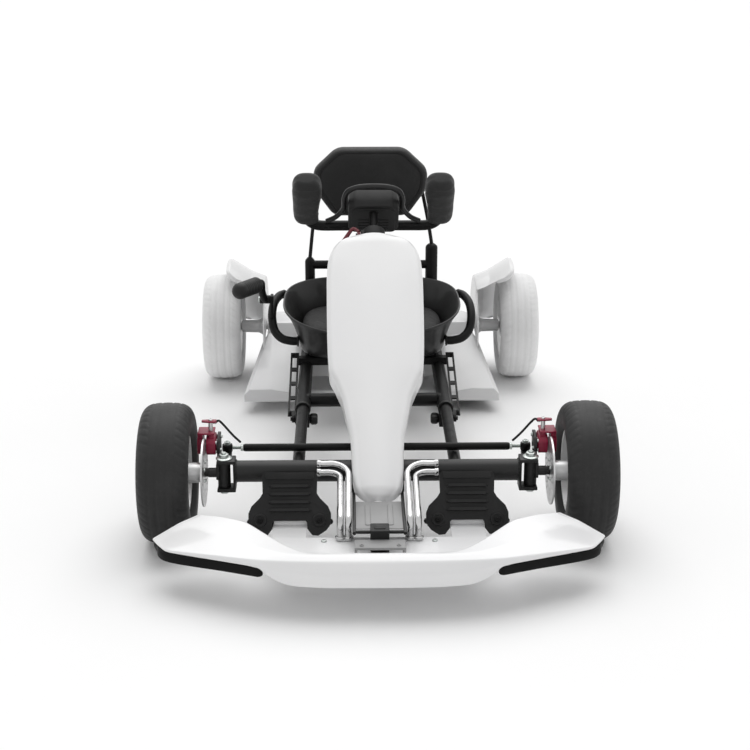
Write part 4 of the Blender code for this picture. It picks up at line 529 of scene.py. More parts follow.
world = bpy.data.worlds.new("studio_world")
bpy.context.scene.world = world
world.use_nodes = True
sky = world.node_tree.nodes["Background"]
sky.inputs["Color"].default_value = (1.0, 1.0, 1.0, 1.0)
sky_strength = world.node_tree.nodes.new("ShaderNodeMapRange")
rays = world.node_tree.nodes.new("ShaderNodeLightPath")
seen = world.node_tree.nodes.new("ShaderNodeMath")
seen.operation = "MAXIMUM"
world.node_tree.links.new(rays.outputs["Is Camera Ray"], seen.inputs[0])
world.node_tree.links.new(rays.outputs["Is Glossy Ray"], seen.inputs[1])
world.node_tree.links.new(seen.outputs[0], sky_strength.inputs["Value"])
sky_strength.inputs["To Min"].default_value = 0.56
sky_strength.inputs["To Max"].default_value = 1.04
world.node_tree.links.new(sky_strength.outputs[0], sky.inputs["Strength"])


def soft_lamp(name, aim_from, spread, power):
    """A sun behind a wide diffuser: even everywhere, with soft shadows."""
    light = bpy.data.lights.new(name, "SUN")
    light.angle, light.energy = math.radians(spread), power
    lamp = bpy.data.objects.new(name, light)
    lamp.rotation_euler = Vector(aim_from).to_track_quat("Z", "Y").to_euler()
    lamp.location = Vector(aim_from) * 3.0
    bpy.context.scene.collection.objects.link(lamp)
    return lamp


overhead = soft_lamp("overhead", (0.03, 0.50, 1.0), 64.0, 1.71)
print("lamp spread:", round(math.degrees(overhead.data.angle), 1), "degrees")

# %% [markdown]
# ## Tyres
# The tyres are solid rubber with a round shoulder and a low tread: two thin grooves round the tyre and short
# slanted sipes across each shoulder. The grid's radius is lowered where a groove or a sipe runs, so the
# relief is real and shows on the outline too.

# %% Tyres
FRONT_AXLE = (0.0, 0.0, 0.123)
FRONT_WHEEL = np.array([0.366, 0.0, 0.123])
REAR_WHEEL = np.array([0.3355, 0.900, 0.119])


def notch(distance, half_width):
    """1 in the middle of a groove and 0 beside it, with soft walls."""
    return np.clip(1.5 - np.abs(distance) / half_width, 0.0, 1.0)


def tyre(centre, radius, half, bead, drop, count=288, sipes=48):
    """Radius = crown arc - tread depth * the larger of the grooves and the sipes."""
    corners = np.array([(0.0, radius), (half * 0.34, radius - drop * 0.07),
                        (half * 0.62, radius - drop * 0.30), (half * 0.85, radius - drop),
                        (half * 0.985, radius - drop * 2.2), (half, radius - drop * 3.6),
                        (half * 0.97, bead + 0.0095), (half * 0.86, bead + 0.0035), (half * 0.76, bead)])
    outer = smooth_path(corners, 5)
    inner = np.linspace(outer[-1], outer[-1] * (-1, 1), 5)[1:-1]
    profile = np.concatenate([outer, inner, (outer * (-1, 1))[::-1][:-1]])
    along, high = profile[:, 0], profile[:, 1]
    t = np.linspace(0.0, TAU, count, endpoint=False)[:, None]
    groove = np.maximum(notch(np.abs(along) - half * 0.22, 0.0014),
                        notch(np.abs(along) - half * 0.50, 0.0012))
    phase = t * sipes / TAU + np.sign(along) * (np.abs(along) - half * 0.55) * 34.0
    sipe = notch((phase - np.round(phase)) / sipes * TAU * radius, 0.0016)
    shoulder = (np.abs(along) > half * 0.55) & (np.abs(along) < half * 0.93) & (high > radius - drop * 1.9)
    tread = np.maximum(groove * (high > radius - drop), sipe * shoulder)
    deep = high - 0.0011 * tread
    grid = np.stack([centre[0] + along + 0 * t, centre[1] + deep * np.cos(t), centre[2] + deep * np.sin(t)],
                    axis=-1)
    return grid_shape(grid, along=True)


front_tyre = tyre(FRONT_WHEEL, 0.123, 0.044, 0.0745, 0.0085)
rear_tyre = tyre(REAR_WHEEL, 0.119, 0.0425, 0.0775, 0.0075)
for side, flip in SIDES:
    dressed(f"front_tyre_{side}", flip(front_tyre), "tyre_black", f"{side}_front_wheel", 60.0)
    dressed(f"rear_tyre_{side}", flip(rear_tyre), "tyre_pale", f"{side}_rear_wheel", 60.0)
print("tyre points:", len(front_tyre[0]))

# %% [markdown]
# ## Front rims, discs and calipers
# The rim is cast: a barrel with rolled edges and five spokes on a hub. The disc is thin ground steel, drilled
# to shed heat, on a small carrier with screws. The caliper is a crimson block of two halves under a bridge,
# with fins, silver bolts and an arm that the cable pulls. Each is a few closed shapes that run into one
# another, which keeps every edge clean without boolean cuts.

# %% Screws and washers
def cap_screw(centre, axis, radius, height, count=24):
    """A button head: its profile rises at the rim, curves over and falls into a round socket."""
    profile = [(0.0, 0.0), (0.0, radius), (height * 0.45, radius), (height * 0.85, radius * 0.86),
               (height, radius * 0.62), (height, radius * 0.46), (height * 0.45, radius * 0.40),
               (height * 0.42, 0.0)]
    profile = [(a, max(r, 0.00002)) for a, r in profile]
    return turned_bar(profile, centre, axis, count)


def hex_nut(centre, axis, radius, height):
    """A six-sided nut with chamfered corners and a round washer face."""
    axis, side, up = axis_frame(axis)
    place = frame_at(centre, side, up, axis)
    nut = slab(rounded(round_section(radius, 6), radius * 0.16, 2), place,
               height * 0.14, height, radius * 0.12)
    washer = turned_bar([(0.0, radius * 1.12), (height * 0.16, radius * 1.12)], centre, axis, 28)
    stud = turned_bar([(height * 0.9, radius * 0.5), (height * 1.25, radius * 0.5),
                       (height * 1.35, radius * 0.4)], centre, axis, 16)
    return together(nut, washer, stud)


# %% Rim, disc and caliper
def front_rim():
    """A turned barrel and hub joined by five spokes, whose width and face are functions of the radius."""
    barrel = turned_ring(rounded([(-0.034, 0.0745), (-0.034, 0.0700), (0.013, 0.0675), (0.0195, 0.0668),
                                  (0.034, 0.0705), (0.034, 0.0745)], 0.0012, 3), FRONT_WHEEL, ACROSS, 96)
    hub = turned_ring(rounded([(-0.0605, 0.0079), (-0.0605, 0.0170), (0.006, 0.0205), (0.0225, 0.0205),
                               (0.0295, 0.0170), (0.0295, 0.0079)], 0.0015, 3), FRONT_WHEEL, ACROSS, 64)
    spokes = []
    for i in range(5):
        turn = TAU * i / 5
        out = np.array([0.0, math.cos(turn), math.sin(turn)])
        beside = np.array([0.0, -math.sin(turn), math.cos(turn)])
        reach = np.linspace(0.0185, 0.0690, 12)
        wide = 0.0125 + 0.0060 * ((reach - 0.019) / 0.05) ** 2 + 0.003 * np.exp(-(reach - 0.0185) / 0.006)
        face = 0.0195 - 0.0035 * np.sin((reach - 0.019) / 0.05 * math.pi)
        section = rounded([(-1.0, -1.0), (1.0, -1.0), (0.72, 1.0), (-0.72, 1.0)], 0.5, 4)
        grid = (FRONT_WHEEL + reach[:, None, None] * out
                + section[None, :, :1] * wide[:, None, None] * beside
                + (face[:, None] - 0.0035 + section[None, :, 1] * 0.0042)[..., None] * ACROSS)
        spokes.append(grid_shape(grid))
    return together(barrel, hub, *spokes)


def drilled_disc(low, high, inner, outer, rows, centre):
    """A thin disc with rows of holes: a polar grid on each face, with quads left out, and walls between."""
    count = 24
    t = np.linspace(0.0, TAU, count * 8, endpoint=False)
    rings = [inner, *(r + d for r in rows for d in (-0.0032, 0.0032)), outer]
    points, faces = [], []

    def circle(radius, x):
        start = sum(len(block) for block in points)
        points.append(np.column_stack([np.full(len(t), x), centre[1] + radius * np.cos(t),
                                       centre[2] + radius * np.sin(t)]))
        return start + np.arange(len(t))

    for x in (low, high):
        loops = [circle(radius, x) for radius in rings]
        for k, (a, b) in enumerate(zip(loops, loops[1:])):
            quads = np.stack([a, np.roll(a, -1), np.roll(b, -1), b], axis=1)
            if k % 2:
                wall = np.arange(len(t)) % 8
                shift = 4 * ((k // 2) % 2)
                quads = quads[(wall + shift) % 8 > 1]
            faces += quads.tolist()
    half = len(rings) * len(t)
    lines = {}
    for face in faces:
        for a, b in zip(face, face[1:] + face[:1]):
            key = (min(a, b), max(a, b))
            lines[key] = lines.get(key, 0) + 1
    faces += [[a, b, b + half, a + half] for (a, b), n in lines.items() if n == 1 and b < half]
    return np.concatenate(points), faces


disc_inside, disc_outside = 0.302, 0.305
carrier = turned_ring([(disc_outside, 0.0095), (disc_outside, 0.0240), (disc_outside + 0.0016, 0.0230),
                       (disc_outside + 0.0016, 0.0095)], FRONT_AXLE, ACROSS, 48)
disc = drilled_disc(disc_inside, disc_outside, 0.0092, 0.060, (0.0330, 0.0425, 0.0515), FRONT_AXLE)
disc_screws = [cap_screw((disc_inside + 0.0002, 0.0180 * math.cos(turn), 0.123 + 0.0180 * math.sin(turn)),
                         INWARD, 0.0028, 0.0022, 16) for turn in np.arange(5) * TAU / 5]

block_in, block_out = 0.2823, 0.3165
body_outline = rounded([(0.020, 0.150), (0.026, 0.1455), (0.058, 0.1455), (0.062, 0.150), (0.062, 0.170),
                        (0.054, 0.179), (0.029, 0.179), (0.020, 0.171)], 0.004, 4)
piston_half = slab(body_outline, across_kart, block_in + 0.002, disc_inside - 0.0012, 0.0015)
outer_half = slab(inset(body_outline, 0.0012), across_kart, disc_outside + 0.0012, block_out, 0.0015)
bridge = slab(rectangle(0.024, 0.1835, 0.058, 0.1868, 0.001), across_kart, block_in + 0.004,
              block_out - 0.001, 0.0008)
bridge_feet = [slab(rectangle(y, 0.176, y + 0.009, 0.1845, 0.001), across_kart, x, x + 0.009, 0.0006)
               for y in (0.026, 0.047) for x in (block_in + 0.005, disc_outside + 0.0015)]
fins = [slab(rectangle(0.029 + 0.006 * i, 0.150, 0.0315 + 0.006 * i, 0.174, 0.0008), across_kart,
             block_in + 0.0008, block_in + 0.0032, 0.0006) for i in range(5)]
piston_cap = turned_bar([(0.0, 0.0095), (0.0022, 0.0092), (0.0030, 0.0080), (0.0030, 0.0062),
                         (0.0016, 0.0056), (0.0016, 0.0022), (0.0028, 0.0016)],
                        (block_in + 0.0026, 0.041, 0.161), INWARD, 32)
arm_post = turned_bar([(0.0, 0.0042), (0.018, 0.0036), (0.020, 0.0030)], (block_in + 0.011, 0.040, 0.184),
                      UPWARD, 20)
arm_outline = rounded([(0.0, -0.0052), (0.014, -0.0060), (0.0265, -0.0035), (0.0265, 0.0035), (0.014, 0.0060),
                       (0.0, 0.0052)], 0.0025, 3)
arm_plate = slab(arm_outline, frame_at((block_in, 0.040, 0.2022), ACROSS, ALONG, UPWARD), 0.0, 0.0034, 0.0006)
caliper_screws = [cap_screw((block_in + 0.0022, y, z), INWARD, 0.0030, 0.0026, 16)
                  for y, z in ((0.0255, 0.1690), (0.0565, 0.1520), (0.0565, 0.1690), (0.0255, 0.1520))]
arm_screws = [cap_screw((block_in + 0.011, 0.040, 0.2056), UPWARD, 0.0036, 0.0026),
              turned_bar([(0.0, 0.0030), (0.0045, 0.0030)], (block_in + 0.0035, 0.040, 0.2040),
                         (0, 0, -1), 16)]
cable_path = smooth_path([(0.2850, 0.040, 0.2010), (0.2790, 0.040, 0.2048), (0.2720, 0.046, 0.1960),
                          (0.2580, 0.066, 0.1690), (0.2450, 0.080, 0.1490)], 8)

for side, flip in SIDES:
    wheel_body, knuckle_body = f"{side}_front_wheel", f"{side}_knuckle"
    dressed(f"front_rim_{side}", flip(front_rim()), "alloy", wheel_body, 35.0)
    dressed(f"brake_disc_{side}", flip(together(disc, carrier)), "steel", wheel_body, 30.0)
    new_piece(f"disc_screws_{side}", flip(together(*disc_screws)), "zinc", wheel_body)
    dressed(f"brake_caliper_{side}", flip(together(piston_half, outer_half, *fins, arm_plate, bridge,
                                                   *bridge_feet)), "brake_red", knuckle_body, 35.0)
    new_piece(f"caliper_hardware_{side}", flip(together(piston_cap, arm_post, *caliper_screws, *arm_screws)),
              "steel", knuckle_body)
    dressed(f"brake_cable_{side}", flip(rod(cable_path, 0.0021, (0, 1, 0.3), 14)), "sheath_black",
            knuckle_body)
print("disc faces:", len(disc[1]))

# %% [markdown]
# ## Axle beam, knuckles and track rod
# The beam is a round tube with a folded yoke welded on each end. A bolt with a flange nut goes
# down through each yoke and holds the knuckle's barrel. The weld beads are small, but without them
# the joints look pasted on.

# %% Weld beads
def weld_bead(path, up, radius=0.0016):
    """A rope of overlapping puddles: a thin tube whose radius ripples along the joint."""
    path = np.asarray(path, float)
    ripple = 1.0 + 0.22 * np.sin(np.arange(len(path)) * 1.9)
    return carried(round_section(radius, 8), path, up, ripple)


def ring_path(centre, axis, radius, count=72):
    """centre + radius * (cos t * side + sin t * up), both square to the axis."""
    axis, side, up = axis_frame(axis)
    t = np.linspace(0.0, TAU, count)
    return np.asarray(centre) + radius * (np.cos(t)[:, None] * side + np.sin(t)[:, None] * up)


# %% Front frame
KINGPIN_X, YOKE_WEB, ARM_Y = 0.2685, 0.248, 0.083
BEAM_PLACE, RAIL_PLACE, TIE_PLACE = (0.0, 0.0, 0.125), (0.140, 0.0, 0.118), (0.0, ARM_Y, 0.137)
beam = ring(-YOKE_WEB, YOKE_WEB, 0.0160, 0.0190, BEAM_PLACE, ACROSS, 64)
yoke = slab(rounded([(YOKE_WEB, 0.091), (0.2805, 0.091), (0.2805, 0.097), (0.252, 0.097), (0.252, 0.143),
                     (0.2805, 0.143), (0.2805, 0.149), (YOKE_WEB, 0.149)], 0.0018, 3),
            along_kart, -0.015, 0.015, 0.0007)
front_rail = ring(0.004, 0.520, 0.0090, 0.0110, RAIL_PLACE, ALONG, 40)
stay = rod(smooth_path([(0.0418, -0.030, 0.1030), (0.0418, -0.120, 0.1016), (0.0418, -0.211, 0.1000)], 6),
           0.003, UPWARD, 16)
gusset = slab(rounded([(-0.008, 0.130), (-0.026, 0.118), (-0.043, 0.109), (-0.044, 0.101), (-0.030, 0.098),
                       (-0.008, 0.112)], 0.002, 3), across_kart, 0.0408, 0.0458, 0.0006)
latch_pin = turned_bar([(-0.0418, 0.003), (0.0418, 0.003)], (0.0, -0.205, 0.100), ACROSS, 20)
yoke_weld = weld_bead(ring_path((YOKE_WEB - 0.0006, 0.0, 0.125), ACROSS, 0.0192), ACROSS)
rail_weld = weld_bead(ring_path((0.140, 0.0142, 0.118), ALONG, 0.0112, 60), ALONG)
dressed("front_frame", together(beam, latch_pin, *paired([yoke, stay, gusset, yoke_weld])), "frame_satin",
        "front_body", 35.0)
new_piece("front_rails", together(*paired([front_rail, rail_weld])), "frame_black", "front_body")
print("beam between the yokes:", round(2 * YOKE_WEB, 3), "m")

# %% Kingpins, knuckles and track rod
kingpin = turned_bar([(0.0, 0.0050), (0.0585, 0.0050)], (KINGPIN_X, 0.0, 0.0910), UPWARD, 24)
kingpin_nut = hex_nut((KINGPIN_X, 0.0, 0.1493), UPWARD, 0.0092, 0.0085)
flange = turned_bar([(0.0, 0.0138), (0.0012, 0.0140), (0.0026, 0.0120), (0.0030, 0.0085)],
                    (KINGPIN_X, 0.0, 0.1493), UPWARD, 36)
kingpin_head = slab(rounded(round_section(0.0090, 6), 0.0014, 2),
                    frame_at((KINGPIN_X, 0, 0.0907), ACROSS, ALONG, (0, 0, -1)), 0.0, 0.0052, 0.0010)
track_rod_eye = turned_ring(rounded([(0.1301, 0.0043), (0.1301, 0.0090), (0.1370, 0.0098), (0.1438, 0.0090),
                                     (0.1438, 0.0043)], 0.0010, 3), (KINGPIN_X, ARM_Y, 0.0), UPWARD, 40)
eye_seat = ring(0.1299, 0.1442, 0.0043, 0.0058, (KINGPIN_X, ARM_Y, 0.0), UPWARD, 32, 0.0004, 2)
thread = np.linspace(0.0, 1.0, 160)
thread_profile = np.column_stack([0.2395 + 0.0215 * thread, 0.0030 + 0.0003 * np.sin(thread * 22 * TAU)])
track_thread = turned_bar(thread_profile, TIE_PLACE, ACROSS, 20)
lock_nut = slab(rounded(round_section(0.0066, 6), 0.001, 2),
                frame_at((0.2398, *TIE_PLACE[1:]), ALONG, UPWARD, ACROSS), 0.0, 0.0048, 0.0008)
sleeve = turned_bar([(-0.2398, 0.0052), (-0.2392, 0.0062), (-0.2360, 0.0070), (0.2360, 0.0070),
                     (0.2392, 0.0062), (0.2398, 0.0052)], TIE_PLACE, ACROSS, 32)
column_heading = (0.0, 0.76604, 0.64279)
drive_boss = turned_bar([(-0.004, 0.0070), (-0.0034, 0.0084), (0.0098, 0.0076), (0.0105, 0.0068)],
                        TIE_PLACE, column_heading, 28)
drive_stud = turned_bar([(0.0, 0.0040), (0.0300, 0.0040), (0.0310, 0.0034)], TIE_PLACE, column_heading, 24)
dressed("tie_bar", together(sleeve, drive_boss, drive_stud, *paired([track_rod_eye])),
        "frame_black", "track_rod", 35.0)
new_piece("tie_bar_threads", together(*paired([track_thread, lock_nut]), *paired([eye_seat])),
          "zinc", "track_rod", (), 30.0)

ARM_END, arm_low, arm_top = 0.008, 0.1215, 0.1295
barrel = ring(0.0973, 0.1427, 0.0053, 0.0112, (KINGPIN_X, 0.0, 0.0), UPWARD, 48, 0.0010, 3)
stub = turned_bar([(0.2755, 0.0085), (0.2955, 0.0085), (0.2962, 0.0075), (0.3960, 0.0075)],
                  FRONT_AXLE, ACROSS, 36)
arm_end = [(KINGPIN_X + ARM_END * math.cos(t), ARM_Y + ARM_END * math.sin(t))
           for t in np.linspace(0.0, math.pi, 13)]
steering_arm = slab(np.array([(KINGPIN_X - ARM_END, 0.0078), (KINGPIN_X - 0.0070, 0.030),
                              (KINGPIN_X - 0.0065, 0.055), *arm_end[::-1], (KINGPIN_X + 0.0065, 0.055),
                              (KINGPIN_X + 0.0070, 0.030), (KINGPIN_X + ARM_END, 0.0078)]), upright, arm_low,
                    arm_top, 0.0009)
arm_stud = together(hex_nut((KINGPIN_X, ARM_Y, arm_low), (0, 0, -1), 0.0058, 0.0040),
                    turned_bar([(0.0, 0.0039), (0.0146, 0.0039)], (KINGPIN_X, ARM_Y, arm_top), UPWARD, 20),
                    hex_nut((KINGPIN_X, ARM_Y, 0.1443), UPWARD, 0.0058, 0.0046))
brake_plate = slab(rounded([(-0.010, 0.112), (0.012, 0.108), (0.046, 0.130), (0.064, 0.148), (0.064, 0.176),
                            (0.050, 0.180), (0.028, 0.172), (0.020, 0.162), (0.020, 0.140), (-0.008, 0.140)],
                           0.004, 4), across_kart, 0.2770, 0.2820, 0.0006)
plate_screws = [cap_screw((0.2770, y, z), INWARD, 0.0036, 0.0028, 20)
                for y, z in ((0.034, 0.152), (0.055, 0.170))]
axle_nut = together(turned_bar([(0.0, 0.0110), (0.0012, 0.0110)], (0.3964, 0.0, 0.123), ACROSS, 36),
                    slab(rounded(round_section(0.0098, 6), 0.0014, 2),
                         frame_at((0.3975, 0.0, 0.123), ALONG, UPWARD, ACROSS), 0.0, 0.0060, 0.0012))
for side, flip in SIDES:
    dressed(f"kingpin_{side}", flip(together(kingpin, kingpin_nut, flange, kingpin_head)), "zinc",
            "front_body", 30.0)
    dressed(f"knuckle_{side}", flip(together(barrel, stub, steering_arm, brake_plate)), "frame_satin",
            f"{side}_knuckle", 35.0)
    new_piece(f"knuckle_hardware_{side}", flip(together(arm_stud, *plate_screws, axle_nut)), "zinc",
              f"{side}_knuckle", (), 30.0)
print("front axle dressed")

# %% [markdown]
# ## The nose cover
# The cover is one vacuum-formed shell: narrow over the axle, flaring to a broad shield under the
# wheel. Its width, its depth and the curl of its ends are read from short tables, eased so that no
# kink shows in the gloss. Each section is a wall, a round corner and a crowned face, and the inside is
# the same section drawn in.

# %% Easing between table rows
COLUMN_FOOT = np.array([0.0, 0.070928, 0.185613])
COLUMN_UP = np.array([0.0, 0.766044, 0.642788])
COLUMN_DOWN = np.array([0.0, 0.642788, -0.766044])
on_column = frame_at(COLUMN_FOOT, ACROSS, COLUMN_DOWN, COLUMN_UP)
on_wheel = frame_at(COLUMN_FOOT + 0.501 * COLUMN_UP, ACROSS, -COLUMN_DOWN, COLUMN_UP)


def eased(rows, x):
    """Monotone cubic through (x, y) rows; each slope is the harmonic mean of the chords beside it."""
    xs, ys = np.array(rows, float).T
    step, chord = np.diff(xs), np.diff(ys) / np.diff(xs)
    same = chord[:-1] * chord[1:] > 0
    safe = np.where(same, chord[:-1] + chord[1:], 1.0)
    inner = np.where(same, 2 * chord[:-1] * chord[1:] / safe, 0.0)
    slope = np.concatenate([[chord[0]], inner, [chord[-1]]])
    i = np.clip(np.searchsorted(xs, x) - 1, 0, len(step) - 1)
    t = np.clip((x - xs[i]) / step[i], 0.0, 1.0)
    return (ys[i] * (1 + 2 * t) * (1 - t) ** 2 + slope[i] * step[i] * t * (1 - t) ** 2
            + ys[i + 1] * t ** 2 * (3 - 2 * t) + slope[i + 1] * step[i] * t ** 2 * (t - 1))


# %% The cover's shell and ribs
# (distance along the cover; half its width, its depth, or how far its face is set back)
COVER_WIDTH = [(0.0, 0.020), (0.007, 0.031), (0.021, 0.041), (0.040, 0.044), (0.114, 0.047), (0.181, 0.0576),
               (0.205, 0.0623), (0.237, 0.0735), (0.266, 0.0852), (0.349, 0.0890), (0.459, 0.0900),
               (0.500, 0.0880), (0.525, 0.0820), (0.543, 0.0720), (0.556, 0.0590), (0.565, 0.0380)]
COVER_DEPTH = [(0.0, 0.014), (0.104, 0.012), (0.229, 0.050), (0.565, 0.050)]
COVER_CURL = [(0.0, 0.010), (0.010, 0.003), (0.024, 0.0), (0.540, 0.0), (0.565, 0.006)]


def cover_sections(s, cut, corner=0.011):
    """Across and back from the face: a straight wall, a quarter circle, then a parabola as the crown."""
    width, deep, face = eased(COVER_WIDTH, s) - cut, eased(COVER_DEPTH, s), eased(COVER_CURL, s) + cut
    radius = corner - cut
    wall = np.linspace(0.0, 1.0, 6)[:-1]
    arc = np.linspace(0.0, math.pi / 2, 9)
    top = np.linspace(1.0, 0.0, 11)[1:]
    w, d, f = width[:, None], deep[:, None], face[:, None]
    start = np.minimum(f + radius, d - 0.001)
    x = np.concatenate([w + 0 * wall, w - radius + radius * np.cos(arc), (w - radius) * top], axis=1)
    q = np.concatenate([d + (start - d) * wall, start + (f - start) * np.sin(arc),
                        f - 0.006 * (1 - top ** 2)], axis=1)
    x = np.concatenate([x, -x[:, -2::-1]], axis=1)
    q = np.concatenate([q, q[:, -2::-1]], axis=1)
    return x, q


def on_cover(x, q, s):
    """Across, back from the face and along the cover, put into space."""
    return on_column(np.stack([x, q - 0.035, s + 0 * x - 0.1672], axis=-1))


stations = np.unique(np.concatenate([np.linspace(0.0, 0.565, 96), np.linspace(0.0, 0.03, 14),
                                     np.linspace(0.53, 0.565, 16)]))
outer_x, outer_q = cover_sections(stations, 0.0)
inner_x, inner_q = cover_sections(stations, 0.003)
cover_grid = on_cover(np.concatenate([outer_x, inner_x[:, ::-1]], axis=1),
                      np.concatenate([outer_q, inner_q[:, ::-1]], axis=1), stations[:, None])
cover_shell = grid_shape(cover_grid)


def cover_rib(s, half, deep):
    """A bulkhead inside the shell, notched for what it sits on."""
    x, q = cover_sections(np.array([s]), 0.0022)
    outer = np.column_stack([x[0], np.minimum(q[0], 0.046 if s > 0.2 else 0.012)])
    notch_points = [(-half, outer[-1, 1]), (-half, deep), (half, deep), (half, outer[0, 1])]
    return slab(np.concatenate([outer, notch_points]),
                lambda p: on_cover(p[:, 0], p[:, 1], s + p[:, 2]), 0.0, 0.004, 0.0002)


dressed("steering_cover", together(cover_shell, cover_rib(0.221, 0.0217, 0.0103),
                                   cover_rib(0.480, 0.0156, 0.0193)), "shell_white", "front_body", 38.0)
print("cover length:", round(float(stations[-1]), 3), "m")

# %% [markdown]
# ## The bumper
# The bumper is a folded white moulding. Ten sections along it give its height, its rim and its chamfered
# face; the curve between them is smoothed like a bent strip of plastic, so the wings keep straight edges and
# the corners go round. It is open below, and a thin inner skin gives the wall.

# %% Bumper shell
# ten sections from the middle to the wing's tip: rim, outer edge, fold and lower edge
BUMPER_ROWS = np.array([
    [(0.000, -0.2820, 0.1000), (0.000, -0.3105, 0.0965), (0.000, -0.3200, 0.0775), (0.000, -0.3175, 0.0545)],
    [(0.060, -0.2820, 0.1000), (0.085, -0.3100, 0.0965), (0.087, -0.3185, 0.0775), (0.087, -0.3160, 0.0545)],
    [(0.092, -0.2815, 0.1000), (0.130, -0.3070, 0.0957), (0.132, -0.3130, 0.0785), (0.131, -0.3105, 0.0545)],
    [(0.114, -0.2800, 0.1002), (0.156, -0.3035, 0.0950), (0.158, -0.3070, 0.0808), (0.155, -0.3040, 0.0555)],
    [(0.126, -0.2765, 0.1004), (0.185, -0.2975, 0.0935), (0.187, -0.3005, 0.0830), (0.184, -0.2975, 0.0655)],
    [(0.129, -0.2745, 0.1004), (0.191, -0.2955, 0.0932), (0.193, -0.2985, 0.0828), (0.190, -0.2960, 0.0812)],
    [(0.160, -0.2440, 0.1015), (0.252, -0.2680, 0.0880), (0.2535, -0.2705, 0.0805), (0.2505, -0.2680, 0.0790)],
    [(0.218, -0.1700, 0.1050), (0.3475, -0.2240, 0.0795), (0.3490, -0.2255, 0.0765), (0.3460, -0.2235, 0.0750)],
    [(0.258, -0.1560, 0.1085), (0.3665, -0.1900, 0.0775), (0.3675, -0.1910, 0.0745), (0.3645, -0.1895, 0.0730)],
    [(0.298, -0.1500, 0.1100), (0.3745, -0.1720, 0.0765), (0.3755, -0.1725, 0.0735), (0.3725, -0.1715, 0.0720)]])
BUMPER_FEET = np.array([0.0705, 0.0705, 0.0705, 0.0705, 0.0705, 0.0705, 0.0705, 0.0800, 0.0840, 0.0860])


def softened_rows(rows, spacing=0.004, passes=8):
    """Rows resampled at even spacing along the rim, then averaged with their neighbours a few times."""
    flat = rows.reshape(len(rows), -1)
    reach = np.concatenate([[0.0], np.cumsum(np.linalg.norm(np.diff(rows[:, 1], axis=0), axis=1))])
    even = np.linspace(0.0, reach[-1], int(reach[-1] / spacing))
    dense = np.stack([np.interp(even, reach, column) for column in flat.T], axis=1)
    for _ in range(passes):
        dense[1:-1] = 0.25 * dense[:-2] + 0.5 * dense[1:-1] + 0.25 * dense[2:]
    return dense.reshape(len(dense), *rows.shape[1:])


def open_rounded(points, radius, steps=4):
    """An open line of points, per row, with its inner corners rounded by quadratic curves."""
    a, c, b = points[:, :-2], points[:, 1:-1], points[:, 2:]
    before = np.linalg.norm(a - c, axis=-1, keepdims=True)
    after = np.linalg.norm(b - c, axis=-1, keepdims=True)
    reach = np.minimum(radius, 0.45 * np.minimum(before, after))
    start, end = c + (a - c) / before * reach, c + (b - c) / after * reach
    t = np.linspace(0.0, 1.0, steps + 1)[None, None, :, None]
    curve = ((1 - t) ** 2 * start[:, :, None] + 2 * t * (1 - t) * c[:, :, None] + t ** 2 * end[:, :, None])
    return np.concatenate([points[:, :1], curve.reshape(len(points), -1, 3), points[:, -1:]], axis=1)


feet_rows = np.stack([BUMPER_ROWS[:, 0, 0], BUMPER_ROWS[:, 0, 1], BUMPER_FEET], axis=1)[:, None]
half_rows = np.concatenate([feet_rows, BUMPER_ROWS], axis=1)
right_rows = half_rows[:0:-1] * np.array([-1.0, 1.0, 1.0])
bumper_rows = softened_rows(np.concatenate([right_rows, half_rows]))


def bumper_profile(rows, cut):
    """Foot, rim, crown, outer rim, break and bottom, all moved inwards by the wall where cut is not zero."""
    foot, rim, outer, fold, low = (rows[:, i] for i in range(5))
    out = unit((outer - rim) * np.array([1.0, 1.0, 0.0]))
    down = np.array([0.0, 0.0, cut])
    crown = rim + 0.45 * (outer - rim) + np.array([0.0, 0.0, 0.003])
    line = np.stack([foot + out * cut, rim + out * cut - down, crown - down, outer - out * cut - down,
                     fold - out * cut, low - out * cut], axis=1)
    return open_rounded(line, 0.0055 - cut * 0.6, 5)


outer_skin, inner_skin = bumper_profile(bumper_rows, 0.0), bumper_profile(bumper_rows, 0.0032)
bumper_wall = grid_shape(np.concatenate([outer_skin, inner_skin[:, ::-1]], axis=1))
tips = []
for end, inward in ((0, 1), (-1, -2)):
    face = outer_skin[end]
    toward = unit(outer_skin[inward].mean(axis=0) - face.mean(axis=0)) * 0.0032
    middle = face.mean(axis=0)
    rings = [face + (middle - face) * 0.02 - toward * 0.05, face - toward * 0.02, face + toward]
    tips.append(grid_shape(np.stack(rings)))
dressed("bumper_shell", together(bumper_wall, *tips), "shell_white", "front_body", 42.0)
print("bumper sections:", len(bumper_rows))

# %% Strips, tray and latch
STRIP_HEIGHT, STRIP_WIDTH, STRIP_END = 0.0165, 0.0100, 0.0070


